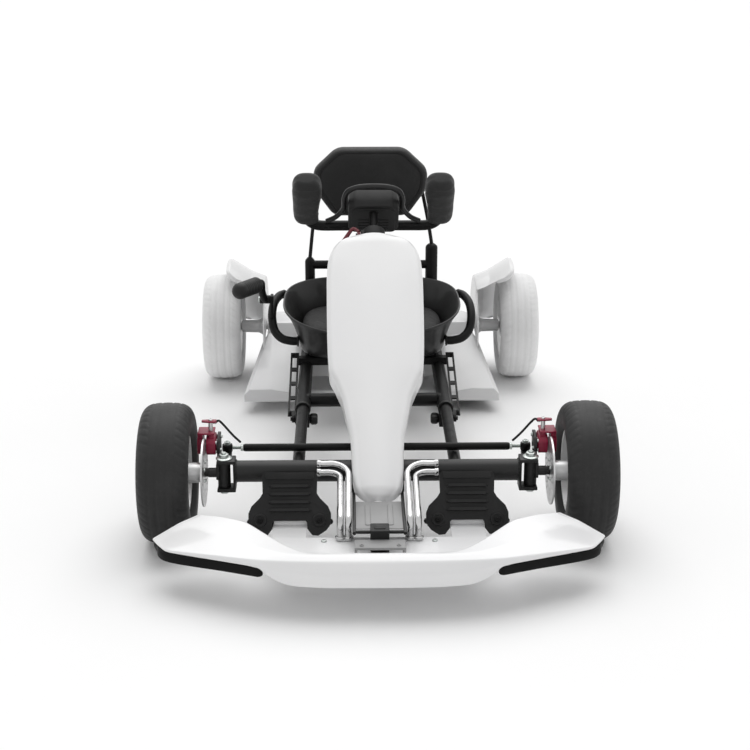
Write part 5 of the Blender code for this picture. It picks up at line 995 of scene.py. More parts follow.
def strip(rows):
    """A bar under the wing: a superellipse at each point, drawn in as a quarter circle at its ends."""
    out = unit((rows[:, 1] - rows[:, 0]) * np.array([1.0, 1.0, 0.0]))
    tall = STRIP_HEIGHT * np.array([1.0, 1.0, 1.0, 0.75, 0.40])
    columns = smooth_path(np.column_stack([rows[:, 2, :2], rows[:, 3, 2], out[:, :2], tall]), 16)
    reach = np.concatenate([[0.0], np.cumsum(np.linalg.norm(np.diff(columns[:, :3], axis=0), axis=1))])
    even = reach[-1] * (0.5 - 0.5 * np.cos(np.linspace(0.0, math.pi, 150)))
    x, y, top, out_x, out_y, tall = (np.interp(even, reach, column)[:, None] for column in columns.T)
    near = np.clip(np.minimum(even, reach[-1] - even) / STRIP_END, 0.0, 1.0)[:, None]
    size = np.sqrt(np.clip(1.0 - (1.0 - near) ** 2, 0.02, 1.0))
    t = np.linspace(0.0, TAU, 28, endpoint=False)
    u, v = (np.sign(wave) * np.abs(wave) ** 0.62 for wave in (np.cos(t), np.sin(t)))
    side = 0.5 * STRIP_WIDTH * (u * size - 1.0)
    high = top - 0.0002 + 0.5 * tall * (v * size - 1.0)
    return grid_shape(np.stack([x + out_x * side, y + out_y * side, high], axis=-1))


wing_strip = strip(BUMPER_ROWS[5:])
dressed("bumper_strip_left", wing_strip, "trim_black", "front_body", 60.0)
dressed("bumper_strip_right", mirrored(wing_strip), "trim_black", "front_body", 60.0)
softened("bumper_tray", "shell_white", "front_body", 0.0010)
tray_screws = [cap_screw((x, y, 0.0700), UPWARD, 0.0046, 0.0030, 24)
               for x, y in ((0.030, -0.290), (0.092, -0.176), (0.112, -0.280))]
latch_block = slab(rectangle(-0.0155, -0.221, 0.0155, -0.189, 0.0030, 4), upright, 0.0704, 0.1090, 0.0016)
latch_button = slab(rectangle(-0.0095, -0.2135, 0.0095, -0.1965, 0.0030, 4), upright, 0.1086, 0.1102, 0.0006)
bracket_outline = rounded([(-0.0415, 0.0704), (-0.0370, 0.0704), (-0.0370, 0.0895), (0.0370, 0.0895),
                           (0.0370, 0.0704), (0.0415, 0.0704), (0.0415, 0.0940), (-0.0415, 0.0940)],
                          0.0014, 3)
latch_bracket = slab(bracket_outline, along_kart, -0.253, -0.2212, 0.0006)
bracket_screws = [cap_screw((x, -0.2445, 0.0938), UPWARD, 0.0036, 0.0024, 20) for x in (-0.030, 0.030)]
# painted shade: a grey sheet between the stays, standing in for the shade on the tray between the struts
shade_web = slab(rectangle(-0.0405, -0.1930, 0.0405, -0.0810, 0.0040, 4), upright, 0.0990, 0.1006, 0.0006)
shade_web_beads = [slab(rectangle(x - 0.0045, -0.1800, x + 0.0045, -0.0950, 0.0042, 6), upright, 0.1002, 0.1020,
                  0.0012) for x in (-0.019, 0.019)]
new_piece("tray_screws", together(*paired(tray_screws)), "zinc", "front_body")
dressed("bumper_latch", together(latch_block, latch_button), "hard_black", "front_body")
new_piece("latch_bracket", together(latch_bracket, *bracket_screws), "bracket_grey", "front_body")
# painted shade: the grey web between the stays
new_piece("shade_web", together(shade_web, *shade_web_beads), "bracket_grey", "front_body")
print("strip points:", len(wing_strip[0]))

# %% [markdown]
# ## Struts and pedals
# Two bent chrome rods on each side carry the bumper from the axle beam. They are tubes carried along a
# smoothed route; the polish comes from the finish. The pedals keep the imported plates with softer
# edges, and get their pads.

# %% Chrome struts
high_y, high_z, low_y, low_z = -0.01613, 0.14423, -0.02413, 0.13192
strut_inner, strut_outer = 0.0512, 0.0648
strut_foot = [(-0.1300, 0.1135), (-0.1535, 0.1075), (-0.1640, 0.1005), (-0.1695, 0.0900), (-0.1700, 0.0760),
              (-0.1700, 0.0706)]


def strut(turn, x):
    """A chromed tube along its turn at the beam and then down to the foot at the given x."""
    route = smooth_path([*turn, *((x, y, z) for y, z in strut_foot)], 7)
    return carried(round_section(0.0058, 24), route, (0.35, 0.55, 0.75))


inner_strut = strut([(0.103, high_y, high_z), (0.090, high_y, high_z), (0.076, high_y, high_z),
                     (0.0610, -0.0210, 0.1405), (0.0520, -0.0330, 0.1350), (strut_inner, -0.0550, 0.1285)],
                    strut_inner)
outer_strut = strut([(0.103, low_y, low_z), (0.094, low_y, low_z), (0.084, low_y, low_z),
                     (0.0725, -0.0270, 0.1305), (0.0655, -0.0370, 0.1290), (strut_outer, -0.0550, 0.1260)],
                    strut_outer)
strut_caps = [turned_bar([(0.0, 0.0064), (0.0012, 0.0070), (0.0060, 0.0070), (0.0072, 0.0060)],
                         (0.0985, y, z), ACROSS, 28) for y, z in ((high_y, high_z), (low_y, low_z))]
foot_plate = slab(rectangle(0.0450, -0.1770, 0.0710, -0.1630, 0.003, 4), upright, 0.0705, 0.0735, 0.0008)
foot_collars = [turned_bar([(0.0, 0.0085), (0.0030, 0.0085), (0.0042, 0.0072)], (x, -0.170, 0.0734),
                           UPWARD, 28) for x in (strut_inner, strut_outer)]
for side, flip in SIDES:
    dressed(f"front_strut_{side}", flip(together(inner_strut, outer_strut, *strut_caps, foot_plate,
                                                 *foot_collars)), "chrome", "front_body", 40.0)

# %% Pedals
LEAN = math.radians(25.0)
PEDAL_HINGE = np.array([0.1508, -0.095, 0.070])
PEDAL_UP = np.array([0.0, math.sin(LEAN), math.cos(LEAN)])
PEDAL_FRONT = np.array([0.0, -math.cos(LEAN), math.sin(LEAN)])


def on_pedal(points):
    """Across, up the plate and towards its front, from the pedal's hinge."""
    return PEDAL_HINGE + np.asarray(points) @ np.array([ACROSS, PEDAL_UP, PEDAL_FRONT])


pedal_face = 0.0168
pad_rows = [slab(rounded([(-0.034, v), (0.034, v), (0.030, v + 0.0062), (-0.030, v + 0.0062)], 0.0014, 3),
                 on_pedal, pedal_face - 0.0008, pedal_face + 0.0034, 0.0010)
            for v in (0.0165, 0.0300, 0.0435, 0.0570)]
pedal_rings = [turned_ring(rounded([(-0.0004, 0.0072), (0.0026, 0.0078), (0.0026, 0.0106), (-0.0004, 0.0116)],
                                   0.0007, 3), on_pedal([u, 0.002, pedal_face]), PEDAL_FRONT, 32)
               for u in (-0.050, 0.050)]
pedal_bolts = [cap_screw(on_pedal([u, 0.002, pedal_face + 0.0006]), PEDAL_FRONT,
                         0.0052, 0.0030, 24) for u in (-0.050, 0.050)]
hinge_ends = [hex_nut(PEDAL_HINGE + (u, 0.0, 0.0), (math.copysign(1.0, u), 0, 0), 0.0050, 0.0036)
              for u in (-0.0685, 0.0685)]
for side, flip in SIDES:
    softened(f"pedal_{side}", "tread_black", f"{side}_pedal", 0.0013, 30.0, 40.0)
    new_piece(f"pedal_pads_{side}", flip(together(*pad_rows, *pedal_rings)), "hard_black", f"{side}_pedal")
    new_piece(f"pedal_hardware_{side}", flip(together(*pedal_bolts, *hinge_ends)), "frame_black",
              f"{side}_pedal")
print("bumper and pedals dressed")

# %% [markdown]
# ## Column and steering wheel
# The column is a black tube in a folded channel, clamped by a collar with a red lever. The wheel is open
# at the top: a bent tube carries two thick padded grips, a light arch joins them, and a block in the
# middle holds the shaft. The bent tubes are circles carried along smoothed routes, so their thickness
# stays the same through each bend.

# %% Column
column_tube = ring(0.030, 0.400, 0.0090, 0.0150, COLUMN_FOOT, COLUMN_UP, 48)
bearing_block = slab(rectangle(-0.0180, -0.0212, 0.0180, 0.0170, 0.003, 4), on_column, 0.020, 0.080, 0.0010)
block_bolts = [hex_nut(on_column([0.0213, p, a]), ACROSS, 0.0062, 0.0048)
               for p, a in ((-0.010, 0.034), (-0.010, 0.066))]
softened("column_channel", "frame_black", "front_body", 0.0008)
dressed("column_tube", together(column_tube, bearing_block), "frame_satin", "front_body", 35.0)
new_piece("column_bolts", together(*paired(block_bolts)), "zinc", "front_body", (), 30.0)

collar = ring(0.398, 0.426, 0.0153, 0.0215, COLUMN_FOOT, COLUMN_UP, 64, 0.0016, 3)
collar_lug = slab(rectangle(-0.0252, -0.0120, -0.0170, 0.0120, 0.0020, 3), on_column, 0.402, 0.422, 0.0010)
collar_bolt = turned_bar([(-0.003, 0.0030), (0.0085, 0.0030), (0.0085, 0.0050), (0.0100, 0.0048),
                          (0.0108, 0.0040)], on_column([-0.024, -0.006, 0.412]), INWARD, 24)
dressed("column_collar", together(collar, collar_lug, collar_bolt), "hard_black", "front_body", 35.0)
lever_hub = turned_ring(rounded([(0.0, 0.0033), (0.0065, 0.0033), (0.0065, 0.0080), (0.0, 0.0080)],
                                0.0010, 3), on_column([-0.0256, -0.006, 0.412]), INWARD, 36)
lever_path = smooth_path(on_column([(-0.0288, -0.0125, 0.4165), (-0.040, -0.011, 0.4245),
                                    (-0.053, -0.004, 0.4100), (-0.0665, 0.0, 0.3870)]), 10)
lever_sizes = np.interp(np.linspace(0.0, 1.0, len(lever_path)), [0.0, 0.4, 0.85, 0.97, 1.0],
                        [0.0031, 0.0036, 0.0042, 0.0039, 0.0024])
lever_arm = carried(round_section(1.0, 20) * (1.0, 0.85), lever_path, COLUMN_DOWN, lever_sizes)
dressed("column_lever", together(lever_hub, lever_arm), "lever_red", "clamp_lever", 35.0)
softened("steering_shaft", "frame_black", "steering_wheel", 0.0006)
print("column tube points:", len(column_tube[0]))

# %% Wheel frame, arch and hub
BAR_X, DROP, BACK = 0.1285, 0.0745, -0.004
half_bar = [(BAR_X, 0.055, 0.0), (BAR_X, 0.020, 0.0), (BAR_X, -0.020, 0.0), (BAR_X, -0.0555, 0.0),
            (0.1250, -0.0650, BACK * 0.4), (0.1140, -0.0722, BACK * 0.8), (0.0980, -DROP, BACK),
            (0.0700, -DROP, BACK), (0.0350, -DROP, BACK), (0.0120, -DROP, BACK)]
bar_route = np.array(half_bar + [(-x, u, a) for x, u, a in half_bar[::-1]])
dressed("wheel_frame", rod(smooth_path(on_wheel(bar_route), 6), 0.0102, COLUMN_UP, 28), "frame_black",
        "steering_wheel")
bar_top = -DROP + 0.0102 + 0.0003
half_arch = [(0.092, bar_top + 0.0042, BACK), (0.073, bar_top + 0.0162, BACK / 2),
             (0.0585, bar_top + 0.0402, 0.0), (0.0570, 0.006, 0.0), (0.0500, 0.030, 0.0),
             (0.0320, 0.042, 0.0), (0.0120, 0.0455, 0.0)]
arch_route = np.array(half_arch + [(-x, u, a) for x, u, a in half_arch[::-1]])
dressed("wheel_arch", rod(smooth_path(on_wheel(arch_route), 8), 0.0050, COLUMN_UP, 24), "frame_satin",
        "steering_wheel")

hub_outline = rounded([(-0.0495, bar_top + 0.012), (-0.0395, bar_top), (0.0395, bar_top),
                       (0.0495, bar_top + 0.012), (0.0495, 0.006), (0.0355, 0.020), (-0.0355, 0.020),
                       (-0.0495, 0.006)], 0.006, 5)
hub_block = slab(hub_outline, on_wheel, -0.0295, 0.0120, 0.0030)
hub_cap = slab(inset(hub_outline, 0.0060), on_wheel, 0.0112, 0.0142, 0.0014)
hub_front = slab(inset(hub_outline, 0.0070), on_wheel, -0.0316, -0.0288, 0.0014)
hub_ribs = [slab(rectangle(-0.030, u, 0.030, u + 0.0035, 0.0012), on_wheel, -0.0328, -0.0308, 0.0008)
            for u in (-0.050, -0.041, -0.032, -0.023)]
hub_screws = [cap_screw(on_wheel([x, u, 0.0120]), COLUMN_UP, 0.0030, 0.0022, 20)
              for x in (-0.0425, 0.0425) for u in (bar_top + 0.014, 0.0035)]
dressed("wheel_hub", together(hub_block, hub_cap, hub_front, *hub_ribs), "hard_black", "steering_wheel", 40.0)
new_piece("wheel_hub_screws", together(*hub_screws), "zinc", "steering_wheel")
print("wheel bars apart:", round(2 * BAR_X, 3), "m")

# %% Padded grips
# (height along the bar, share of the full section)
GRIP_LEVELS = [(-0.0565, 0.30), (-0.0560, 0.56), (-0.0535, 0.76), (-0.048, 0.89), (-0.038, 0.965),
               (-0.020, 0.995), (0.005, 0.985), (0.030, 1.0), (0.046, 0.985), (0.058, 0.90), (0.066, 0.74),
               (0.0702, 0.52), (0.0710, 0.28)]


def padded_grip():
    """A superellipse |x|^n + |y|^n = 1 at each level, sized by a smoothed table, with finger dents."""
    levels = smooth_path(np.array(GRIP_LEVELS), 6)
    t = np.linspace(0.0, TAU, 56, endpoint=False)
    c, s = np.cos(t), np.sin(t)
    u, size = levels[:, :1], levels[:, 1:]
    fingers = 0.0007 * np.cos(u * TAU / 0.026) * (s < -0.2) * (np.abs(u - 0.005) < 0.05)
    seam = 0.0010 * np.exp(-((np.abs(c) - 1.0) / 0.012) ** 2)
    narrowing, foot = np.clip((0.030 - u) / 0.050, 0.0, 1.0), np.clip((u + 0.058) / 0.014, 0.3, 1.0)
    waist = 1.0 - 0.26 * (c < 0) * narrowing * foot
    x = BAR_X + np.sign(c) * np.abs(c) ** 0.72 * 0.0292 * size * waist - seam * np.sign(c)
    a = np.sign(s) * np.abs(s) ** 0.72 * 0.0228 * size - fingers * np.sign(s)
    return grid_shape(on_wheel(np.stack([x, u + 0 * c, a], axis=-1)))


grip = padded_grip()
for side, flip in SIDES:
    dressed(f"wheel_grip_{side}", flip(grip), "grip_padding", "steering_wheel", 60.0)
print("steering dressed")

# %% [markdown]
# ## Rails, clamps and adjusters
# The rear rails slide over the front ones and are held by a clamp on each side: a lobed knob on a
# bolt, and a slotted ladder plate that rises to the seat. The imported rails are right; they get
# rounder edges and weld beads.

# %% Rails and clamps
softened("rear_rails", "frame_black", "rear_body", 0.0009, 34.0, 32.0)
rail_plug = turned_ring(rounded([(0.3335, 0.0114), (0.3335, 0.0152), (0.3420, 0.0152), (0.3420, 0.0142),
                                 (0.3352, 0.0142), (0.3352, 0.0114)], 0.0004, 2), RAIL_PLACE, ALONG, 40)
rail_cap = turned_bar([(0.7946, 0.0100), (0.7950, 0.0148), (0.7975, 0.0148), (0.7990, 0.0120),
                       (0.7992, 0.0004)], RAIL_PLACE, ALONG, 36)
cross_weld = weld_bead(ring_path((0.1268, 0.390, 0.118), ACROSS, 0.0137, 48), ACROSS)
new_piece("rail_plugs", together(*paired([rail_plug, rail_cap])), "hard_black", "rear_body")
new_piece("rail_welds", together(*paired([cross_weld])), "frame_black", "rear_body")


def lobed_knob(centre, axis, radius, depth):
    """A hand knob: radius * (1 + 0.12 cos 6t), domed at its ends."""
    axis, side, up = axis_frame(axis)
    t = np.linspace(0.0, TAU, 72, endpoint=False)
    rows = np.array([(0.0, 0.55), (0.0, 0.80), (0.08, 0.93), (0.30, 1.0), (0.72, 0.98), (0.92, 0.86),
                     (1.0, 0.62), (1.0, 0.30)])
    lobes = radius * (1.0 + 0.12 * np.cos(6 * t))[None, :, None] * rows[:, 1, None, None]
    grid = (np.asarray(centre) + depth * rows[:, 0, None, None] * axis
            + lobes * (np.cos(t)[:, None] * side + np.sin(t)[:, None] * up)[None])
    return grid_shape(grid)


CLAMP_Y, CLAMP_Z = 0.352, 0.092
clamp_bolt = turned_bar([(0.0, 0.0040), (0.0385, 0.0040)], (0.1270, CLAMP_Y, CLAMP_Z), ACROSS, 20)
clamp_washer = turned_bar([(0.0, 0.0092), (0.0012, 0.0092)], (0.1264, CLAMP_Y, CLAMP_Z), ACROSS, 32)
outer_nut = hex_nut((0.1556, CLAMP_Y, CLAMP_Z), ACROSS, 0.0080, 0.0070)
inner_knob = lobed_knob((0.1262, CLAMP_Y, CLAMP_Z), INWARD, 0.0108, 0.0145)
ladder_bolts = [cap_screw((0.167, y, z), (0, -0.3, 1), 0.0034, 0.0024, 16)
                for y, z in ((0.374, 0.0975), (0.581, 0.1515))]
for side, flip in SIDES:
    dressed(f"clamp_knob_{side}", flip(inner_knob), "hard_black", f"{side}_clamp", 45.0)
    new_piece(f"clamp_bolt_{side}", flip(together(clamp_bolt, clamp_washer, outer_nut)), "frame_black",
              f"{side}_clamp", (), 30.0)
    softened(f"adjuster_plate_{side}", "frame_black", "rear_body", 0.0006)
    new_piece(f"ladder_bolts_{side}", flip(together(*ladder_bolts)), "frame_black", "rear_body")
print("rails dressed")

# %% [markdown]
# ## Seat
# The shell is one moulding: a rounded rectangle that widens from its floor to a rim that rises to the back.
# The cushion is a stuffed pad, crowned, with its sides drawn in and one sewn channel round it. Its swell is
# worked out as a surface first, and cloth under pressure then gives the fullness between the seams.

# %% Seat shell
# the seat's middle, then the heights of its floor and of the last level ring of its wall
SEAT_Y, FLAT, MIDDLE = 0.680, 0.140, 0.175


def seat_ring(half_x, half_y, height, count=120):
    """|cos|^0.62 and |sin|^0.62 give a square with round corners; height is a function of the sine."""
    t = np.linspace(0.0, TAU, count, endpoint=False)
    c, s = np.cos(t), np.sin(t)
    u, v = (np.sign(wave) * np.abs(wave) ** 0.62 for wave in (c, s))
    return np.stack([u * half_x, SEAT_Y + v * half_y, height(s)], axis=1)


def seat_rim(s):
    """The rim rises with the share to the back, (s + 1) / 2, to the power 0.55."""
    return 0.196 + 0.066 * ((s + 1) / 2) ** 0.55


HALF_WIDE, HALF_LONG = 0.190, 0.120
# (in from the sides, in from the front and back, height or offset, how much it follows the rim)
SEAT_ROWS = [(0.060, 0.034, FLAT, 0.0), (0.046, 0.020, FLAT, 0.0), (0.0385, 0.0120, FLAT + 0.004, 0.0),
             (0.0345, 0.0085, FLAT + 0.013, 0.0), (0.030, 0.006, MIDDLE, 0.0), (0.018, 0.003, 0.0, 0.55),
             (0.007, 0.001, -0.008, 1.0), (0.001, 0.0, -0.002, 1.0), (0.0, 0.0, 0.0005, 1.0),
             (0.0008, 0.0008, 0.0025, 1.0), (0.003, 0.003, 0.003, 1.0), (0.0062, 0.0052, 0.0005, 1.0),
             (0.012, 0.006, -0.010, 1.0), (0.022, 0.007, 0.0, 0.55), (0.034, 0.010, MIDDLE + 0.002, 0.0),
             (0.0385, 0.0125, FLAT + 0.016, 0.0), (0.043, 0.017, FLAT + 0.0065, 0.0),
             (0.050, 0.024, FLAT + 0.004, 0.0), (0.064, 0.038, FLAT + 0.004, 0.0)]


def seat_height(level, share):
    """A level ring where share is 0, one that follows the rim where it is 1, and a blend between."""
    if share in (0.0, 1.0):
        return lambda s: level + share * seat_rim(s)
    return lambda s: MIDDLE + (seat_rim(s) - MIDDLE) * share


seat_rows = [seat_ring(HALF_WIDE - x, HALF_LONG - y, seat_height(level, share))
             for x, y, level, share in SEAT_ROWS]
dressed("seat_shell", grid_shape(np.stack(seat_rows)), "seat_black", "rear_body", 60.0, 1)
seat_screws = [cap_screw((x, 0.602, 0.1440), UPWARD, 0.0040, 0.0028, 20) for x in (-0.118, 0.118)]
print("seat rim:", round(seat_rim(-1.0), 3), "to", round(seat_rim(1.0), 3), "m above the ground")

# %% Side hoops
hoop_route = smooth_path([(0.1890, 0.742, 0.2400), (0.1995, 0.728, 0.2395), (0.2080, 0.704, 0.2350),
                          (0.2125, 0.680, 0.226), (0.2130, 0.655, 0.2090), (0.2070, 0.636, 0.188),
                          (0.1920, 0.623, 0.175), (0.1720, 0.6185, 0.1705), (0.1552, 0.6185, 0.1700)], 7)
hoop = rod(hoop_route, 0.0090, (0.6, 0.2, -0.75), 28)
hoop_foot = turned_bar([(0.0, 0.0118), (0.0018, 0.0118), (0.0034, 0.0100)], (0.1560, 0.6185, 0.1700),
                       ACROSS, 32)
hoop_lug = slab(rectangle(0.642, 0.212, 0.668, 0.262, 0.006, 5), across_kart, -0.2155, -0.2095, 0.0010)
BRAKE_PIVOT = np.array([-0.2265, 0.655, 0.252])
brake_pin = turned_bar([(-0.0140, 0.0040), (0.0120, 0.0040), (0.0120, 0.0070), (0.0136, 0.0070),
                        (0.0150, 0.0056)], BRAKE_PIVOT, INWARD, 32)
dressed("side_hoop_left", together(hoop, hoop_foot), "frame_black", "rear_body")
dressed("side_hoop_right", together(mirrored(hoop), mirrored(hoop_foot), hoop_lug), "frame_black",
        "rear_body")
new_piece("brake_pin", brake_pin, "zinc", "rear_body")
print("hoop points:", len(hoop[0]))


# %% Pillow from a plain form
def swollen(piece, pressure, steps, cap, voxel=0.005):
    """Remesh, let cloth swell under pressure without gravity, and cap how far any point may have moved."""
    bpy.context.view_layer.objects.active = piece
    remesh = piece.modifiers.new("voxels", "REMESH")
    remesh.mode, remesh.voxel_size = "VOXEL", voxel
    bpy.ops.object.modifier_apply(modifier="voxels")
    count = len(piece.data.vertices)
    before = np.empty(count * 3)
    piece.data.vertices.foreach_get("co", before)
    cloth = piece.modifiers.new("cloth", "CLOTH")
    cloth.settings.use_pressure = True
    cloth.settings.uniform_pressure_force = pressure
    cloth.settings.effector_weights.gravity = 0.0
    cloth.settings.tension_stiffness = cloth.settings.compression_stiffness = 40.0
    cloth.point_cache.frame_end = steps
    for step in range(1, steps + 1):
        bpy.context.scene.frame_set(step)
    depsgraph = bpy.context.evaluated_depsgraph_get()
    swelled = piece.evaluated_get(depsgraph).to_mesh()
    after = np.empty(count * 3)
    swelled.vertices.foreach_get("co", after)
    piece.evaluated_get(depsgraph).to_mesh_clear()
    piece.modifiers.remove(cloth)
    bpy.context.scene.frame_set(1)
    move = (after - before).reshape(-1, 3)
    size = np.linalg.norm(move, axis=1, keepdims=True)
    move *= np.minimum(1.0, cap / np.maximum(size, 1e-9))
    piece.data.vertices.foreach_set("co", (before.reshape(-1, 3) + move).ravel())
    piece.data.shade_smooth()
    print(piece.name, "swelled by", round(float(np.linalg.norm(move, axis=1).max()) * 1000, 1), "mm")
    return piece


# %% Seat cushion
cushion_wide, cushion_long = HALF_WIDE - 0.036, HALF_LONG - 0.012
# (share of the outline, height), from the underside up and over the seam
CUSHION_ROWS = [(0.66, 0.1450), (0.80, 0.1460), (0.885, 0.1500), (0.930, 0.1580), (0.962, 0.1720),
                (0.972, 0.1850), (0.962, 0.1945), (0.935, 0.2010), (0.900, 0.2050), (0.850, 0.2080),
                (0.800, 0.2092), (0.775, 0.2088), (0.760, 0.2068), (0.745, 0.2088), (0.720, 0.2100),
                (0.640, 0.2120), (0.500, 0.2135), (0.300, 0.2145), (0.100, 0.2148)]


def cushion_point(k, z):
    """A ring of the cushion, lower in the middle of its front edge, where the thighs rest."""
    return seat_ring(cushion_wide * k, cushion_long * k,
                     lambda s: z - 0.004 * np.clip(-s, 0, 1) ** 2 * (z > 0.19), 144)


def pipe_line(k, z, radius, lift):
    """Piping sewn round the cushion's top edge."""
    loop = cushion_point(k, z) + np.array([0.0, 0.0, lift])
    return carried(round_section(radius, 10), loop, UPWARD, 1.0, True)


cushion = dressed("seat_cushion", grid_shape(np.stack([cushion_point(k, z) for k, z in CUSHION_ROWS])),
                  "padding", "rear_body", 80.0)
swollen(cushion, 1.6, 12, 0.003, 0.004)
new_piece("seat_cushion_piping", pipe_line(0.760, 0.2068, 0.0011, 0.0012), "hard_black",
          "rear_body", (), 80.0)
new_piece("seat_screws", together(*seat_screws), "zinc", "rear_body")
print("seat dressed")

# %% [markdown]
# ## Back rest
# Two thin rods rise from the posts and carry a six-sided pad. The pad is foam under a grained cover, fuller
# in the middle of its face, with a sewn groove that follows its outline. The pad is one outline scaled and
# set at a list of depths, so the groove is only a few rings drawn in.

# %% Posts and crossbar
PAD_Y, PAD_THICK = 0.856, 0.045
plate_y = PAD_Y + PAD_THICK / 2 + 0.0003
foot_z = 0.118 + 0.014 + 0.0028
POST_X, POST_Y = 0.135, 0.820
for_posts = []
left_bend = [(-0.1270, 0.850, 0.372), (-0.1180, plate_y + 0.005, 0.418), (-0.1120, plate_y + 0.005, 0.455)]
right_bend = [(0.1275, 0.850, 0.380), (0.1200, plate_y + 0.005, 0.418), (0.1120, plate_y + 0.005, 0.455)]
# (foot, post's radius, height of its top, bend of its rod)
post_routes = [((-POST_X, POST_Y), 0.011, 0.298, left_bend), ((POST_X, POST_Y), 0.0135, 0.329, right_bend)]
for (x, y), radius, top, bend in post_routes:
    for_posts.append(turned_bar([(foot_z, radius + 0.0015), (foot_z + 0.0042, radius + 0.0015),
                                 (foot_z + 0.0050, radius), (top - 0.006, radius),
                                 (top - 0.002, radius * 0.93), (top + 0.001, radius * 0.70),
                                 (top + 0.004, 0.0050)], (x, y, 0.0), UPWARD, 36))
    for_posts.append(rod(smooth_path([(x, y, top), (x + math.copysign(0.001, -x), y + 0.001, top + 0.010),
                                      *bend], 8), 0.0040, ACROSS, 18))
back_bar = turned_bar([(-POST_X, 0.0095), (POST_X, 0.0095)], (0.0, POST_Y, 0.285), ACROSS, 28)
back_plate = slab(rectangle(-0.118, 0.425, 0.118, 0.462, 0.006, 4), along_kart,
                  plate_y, plate_y + 0.004, 0.0010)
dressed("back_frame", together(*for_posts, back_bar, back_plate), "frame_black", "rear_body")
back_clips = [ring(-0.004, 0.004, 0.0040, 0.0064, (x, plate_y + 0.005, 0.440), UPWARD, 24, 0.0008, 2)
              for x in (-0.1150, 0.1160)]
plate_nuts = [cap_screw((x, plate_y + 0.004, 0.4435), ALONG, 0.0046, 0.0032, 24)
              for x in (-0.070, 0.0, 0.070)]
new_piece("back_plate_nuts", together(*plate_nuts), "zinc", "rear_body")
new_piece("back_plate_clips", together(*back_clips), "hard_black", "rear_body")
print("back plate:", round(plate_y, 4), "m behind the front axle")

# %% Back pad
pad_corners = [(-0.075, 0.540), (0.075, 0.540), (0.1265, 0.492), (0.124, 0.448), (0.082, 0.390),
               (-0.082, 0.390), (-0.124, 0.448), (-0.1265, 0.492)]
pad_outline = rounded(pad_corners, 0.016, 7)
PAD_CENTRE = np.array([0.0, 0.465])
# (share of the outline, share of the thickness), from the back to the front
PAD_ROWS = [(0.60, 0.500), (0.90, 0.492), (0.955, 0.455), (0.985, 0.36), (0.998, 0.18), (0.998, -0.12),
            (0.985, -0.30), (0.960, -0.40), (0.925, -0.462), (0.900, -0.470), (0.888, -0.440),
            (0.876, -0.472), (0.840, -0.510), (0.70, -0.560), (0.45, -0.595), (0.20, -0.608)]


def pad_ring(size, depth):
    """The outline scaled about its middle, at a depth that is a share of the pad's thickness."""
    flat = PAD_CENTRE + (pad_outline - PAD_CENTRE) * size
    return np.column_stack([flat[:, 0], np.full(len(flat), PAD_Y + depth * PAD_THICK), flat[:, 1]])


back_pad = dressed("back_pad", grid_shape(np.stack([pad_ring(k, d) for k, d in PAD_ROWS])), "padding",
                   "rear_body", 80.0)
new_piece("back_pad_piping", carried(round_section(0.0011, 10), pad_ring(0.888, -0.462), ALONG, 1.0, True),
          "hard_black", "rear_body", (), 80.0)
print("back rest dressed")

# %% [markdown]
# ## Drive unit
# The motors, battery and controller sit under a pale cover between the rear wheels. The cover, the foot decks
# and the fenders are separate mouldings with soft edges, screwed together; the wheels carry pale solid tyres
# on hubs. The plain mouldings keep their packed form and get bevelled edges; the fenders are turned round the
# axle instead, because their lip is curved.

# %% Cover, tray, battery and decks
softened("drive_cover", "shell_pale", "rear_body", 0.0030, 20.0, 50.0)
softened("drive_tray", "motor_pale", "rear_body", 0.0008)
softened("battery_pack", "knob_grey", "rear_body", 0.0025)
for side in ("left", "right"):
    softened(f"deck_{side}", "shell_pale", "rear_body", 0.0022, 20.0, 50.0)

# %% Fenders
AXLE = REAR_WHEEL * (0.0, 1.0, 1.0)
fender_inner, fender_neck = 0.2383, 0.1275
arch_outline = rounded([(fender_inner, 0.090), (fender_inner, fender_neck - 0.012), (0.270, fender_neck),
                        (0.316, 0.1555), (0.324, 0.1535), (0.324, 0.1435), (0.320, 0.1435), (0.314, 0.1505),
                        (0.270, fender_neck - 0.004), (fender_inner + 0.004, fender_neck - 0.015),
                        (fender_inner + 0.004, 0.090)], 0.0016, 3)

inner_skin_outline = [(fender_inner + 0.0003, 0.014), (fender_inner + 0.0003, fender_neck - 0.014),
                      (fender_inner + 0.0032, fender_neck - 0.017), (fender_inner + 0.0032, 0.014)]


def part_turn(outline, start, size, count, corner=0.0):
    """An outline turned round the rear axle from the back (0 degrees) over the top, its lip drawn in."""
    outline = np.asarray(outline, float)
    turn = np.linspace(start, start + size, count)
    near = np.minimum(turn - start, start + size - turn) / max(corner, 1e-6)
    reach = 1.0 - 0.42 * (1.0 - np.sqrt(1.0 - (1.0 - np.clip(near, 0.0, 1.0)) ** 2)) * (corner > 0)
    t = np.radians(turn)
    out = np.stack([0 * t, np.cos(t), np.sin(t)], axis=1)
    x = fender_inner + (outline[None, :, 0] - fender_inner) * reach[:, None]
    high = fender_neck - 0.012 + (outline[None, :, 1] - fender_neck + 0.012) * (0.35 + 0.65 * reach[:, None])
    high = np.where(outline[None, :, 1] > fender_neck - 0.012, high, outline[None, :, 1])
    return grid_shape(AXLE + x[..., None] * ACROSS + high[..., None] * out[:, None])


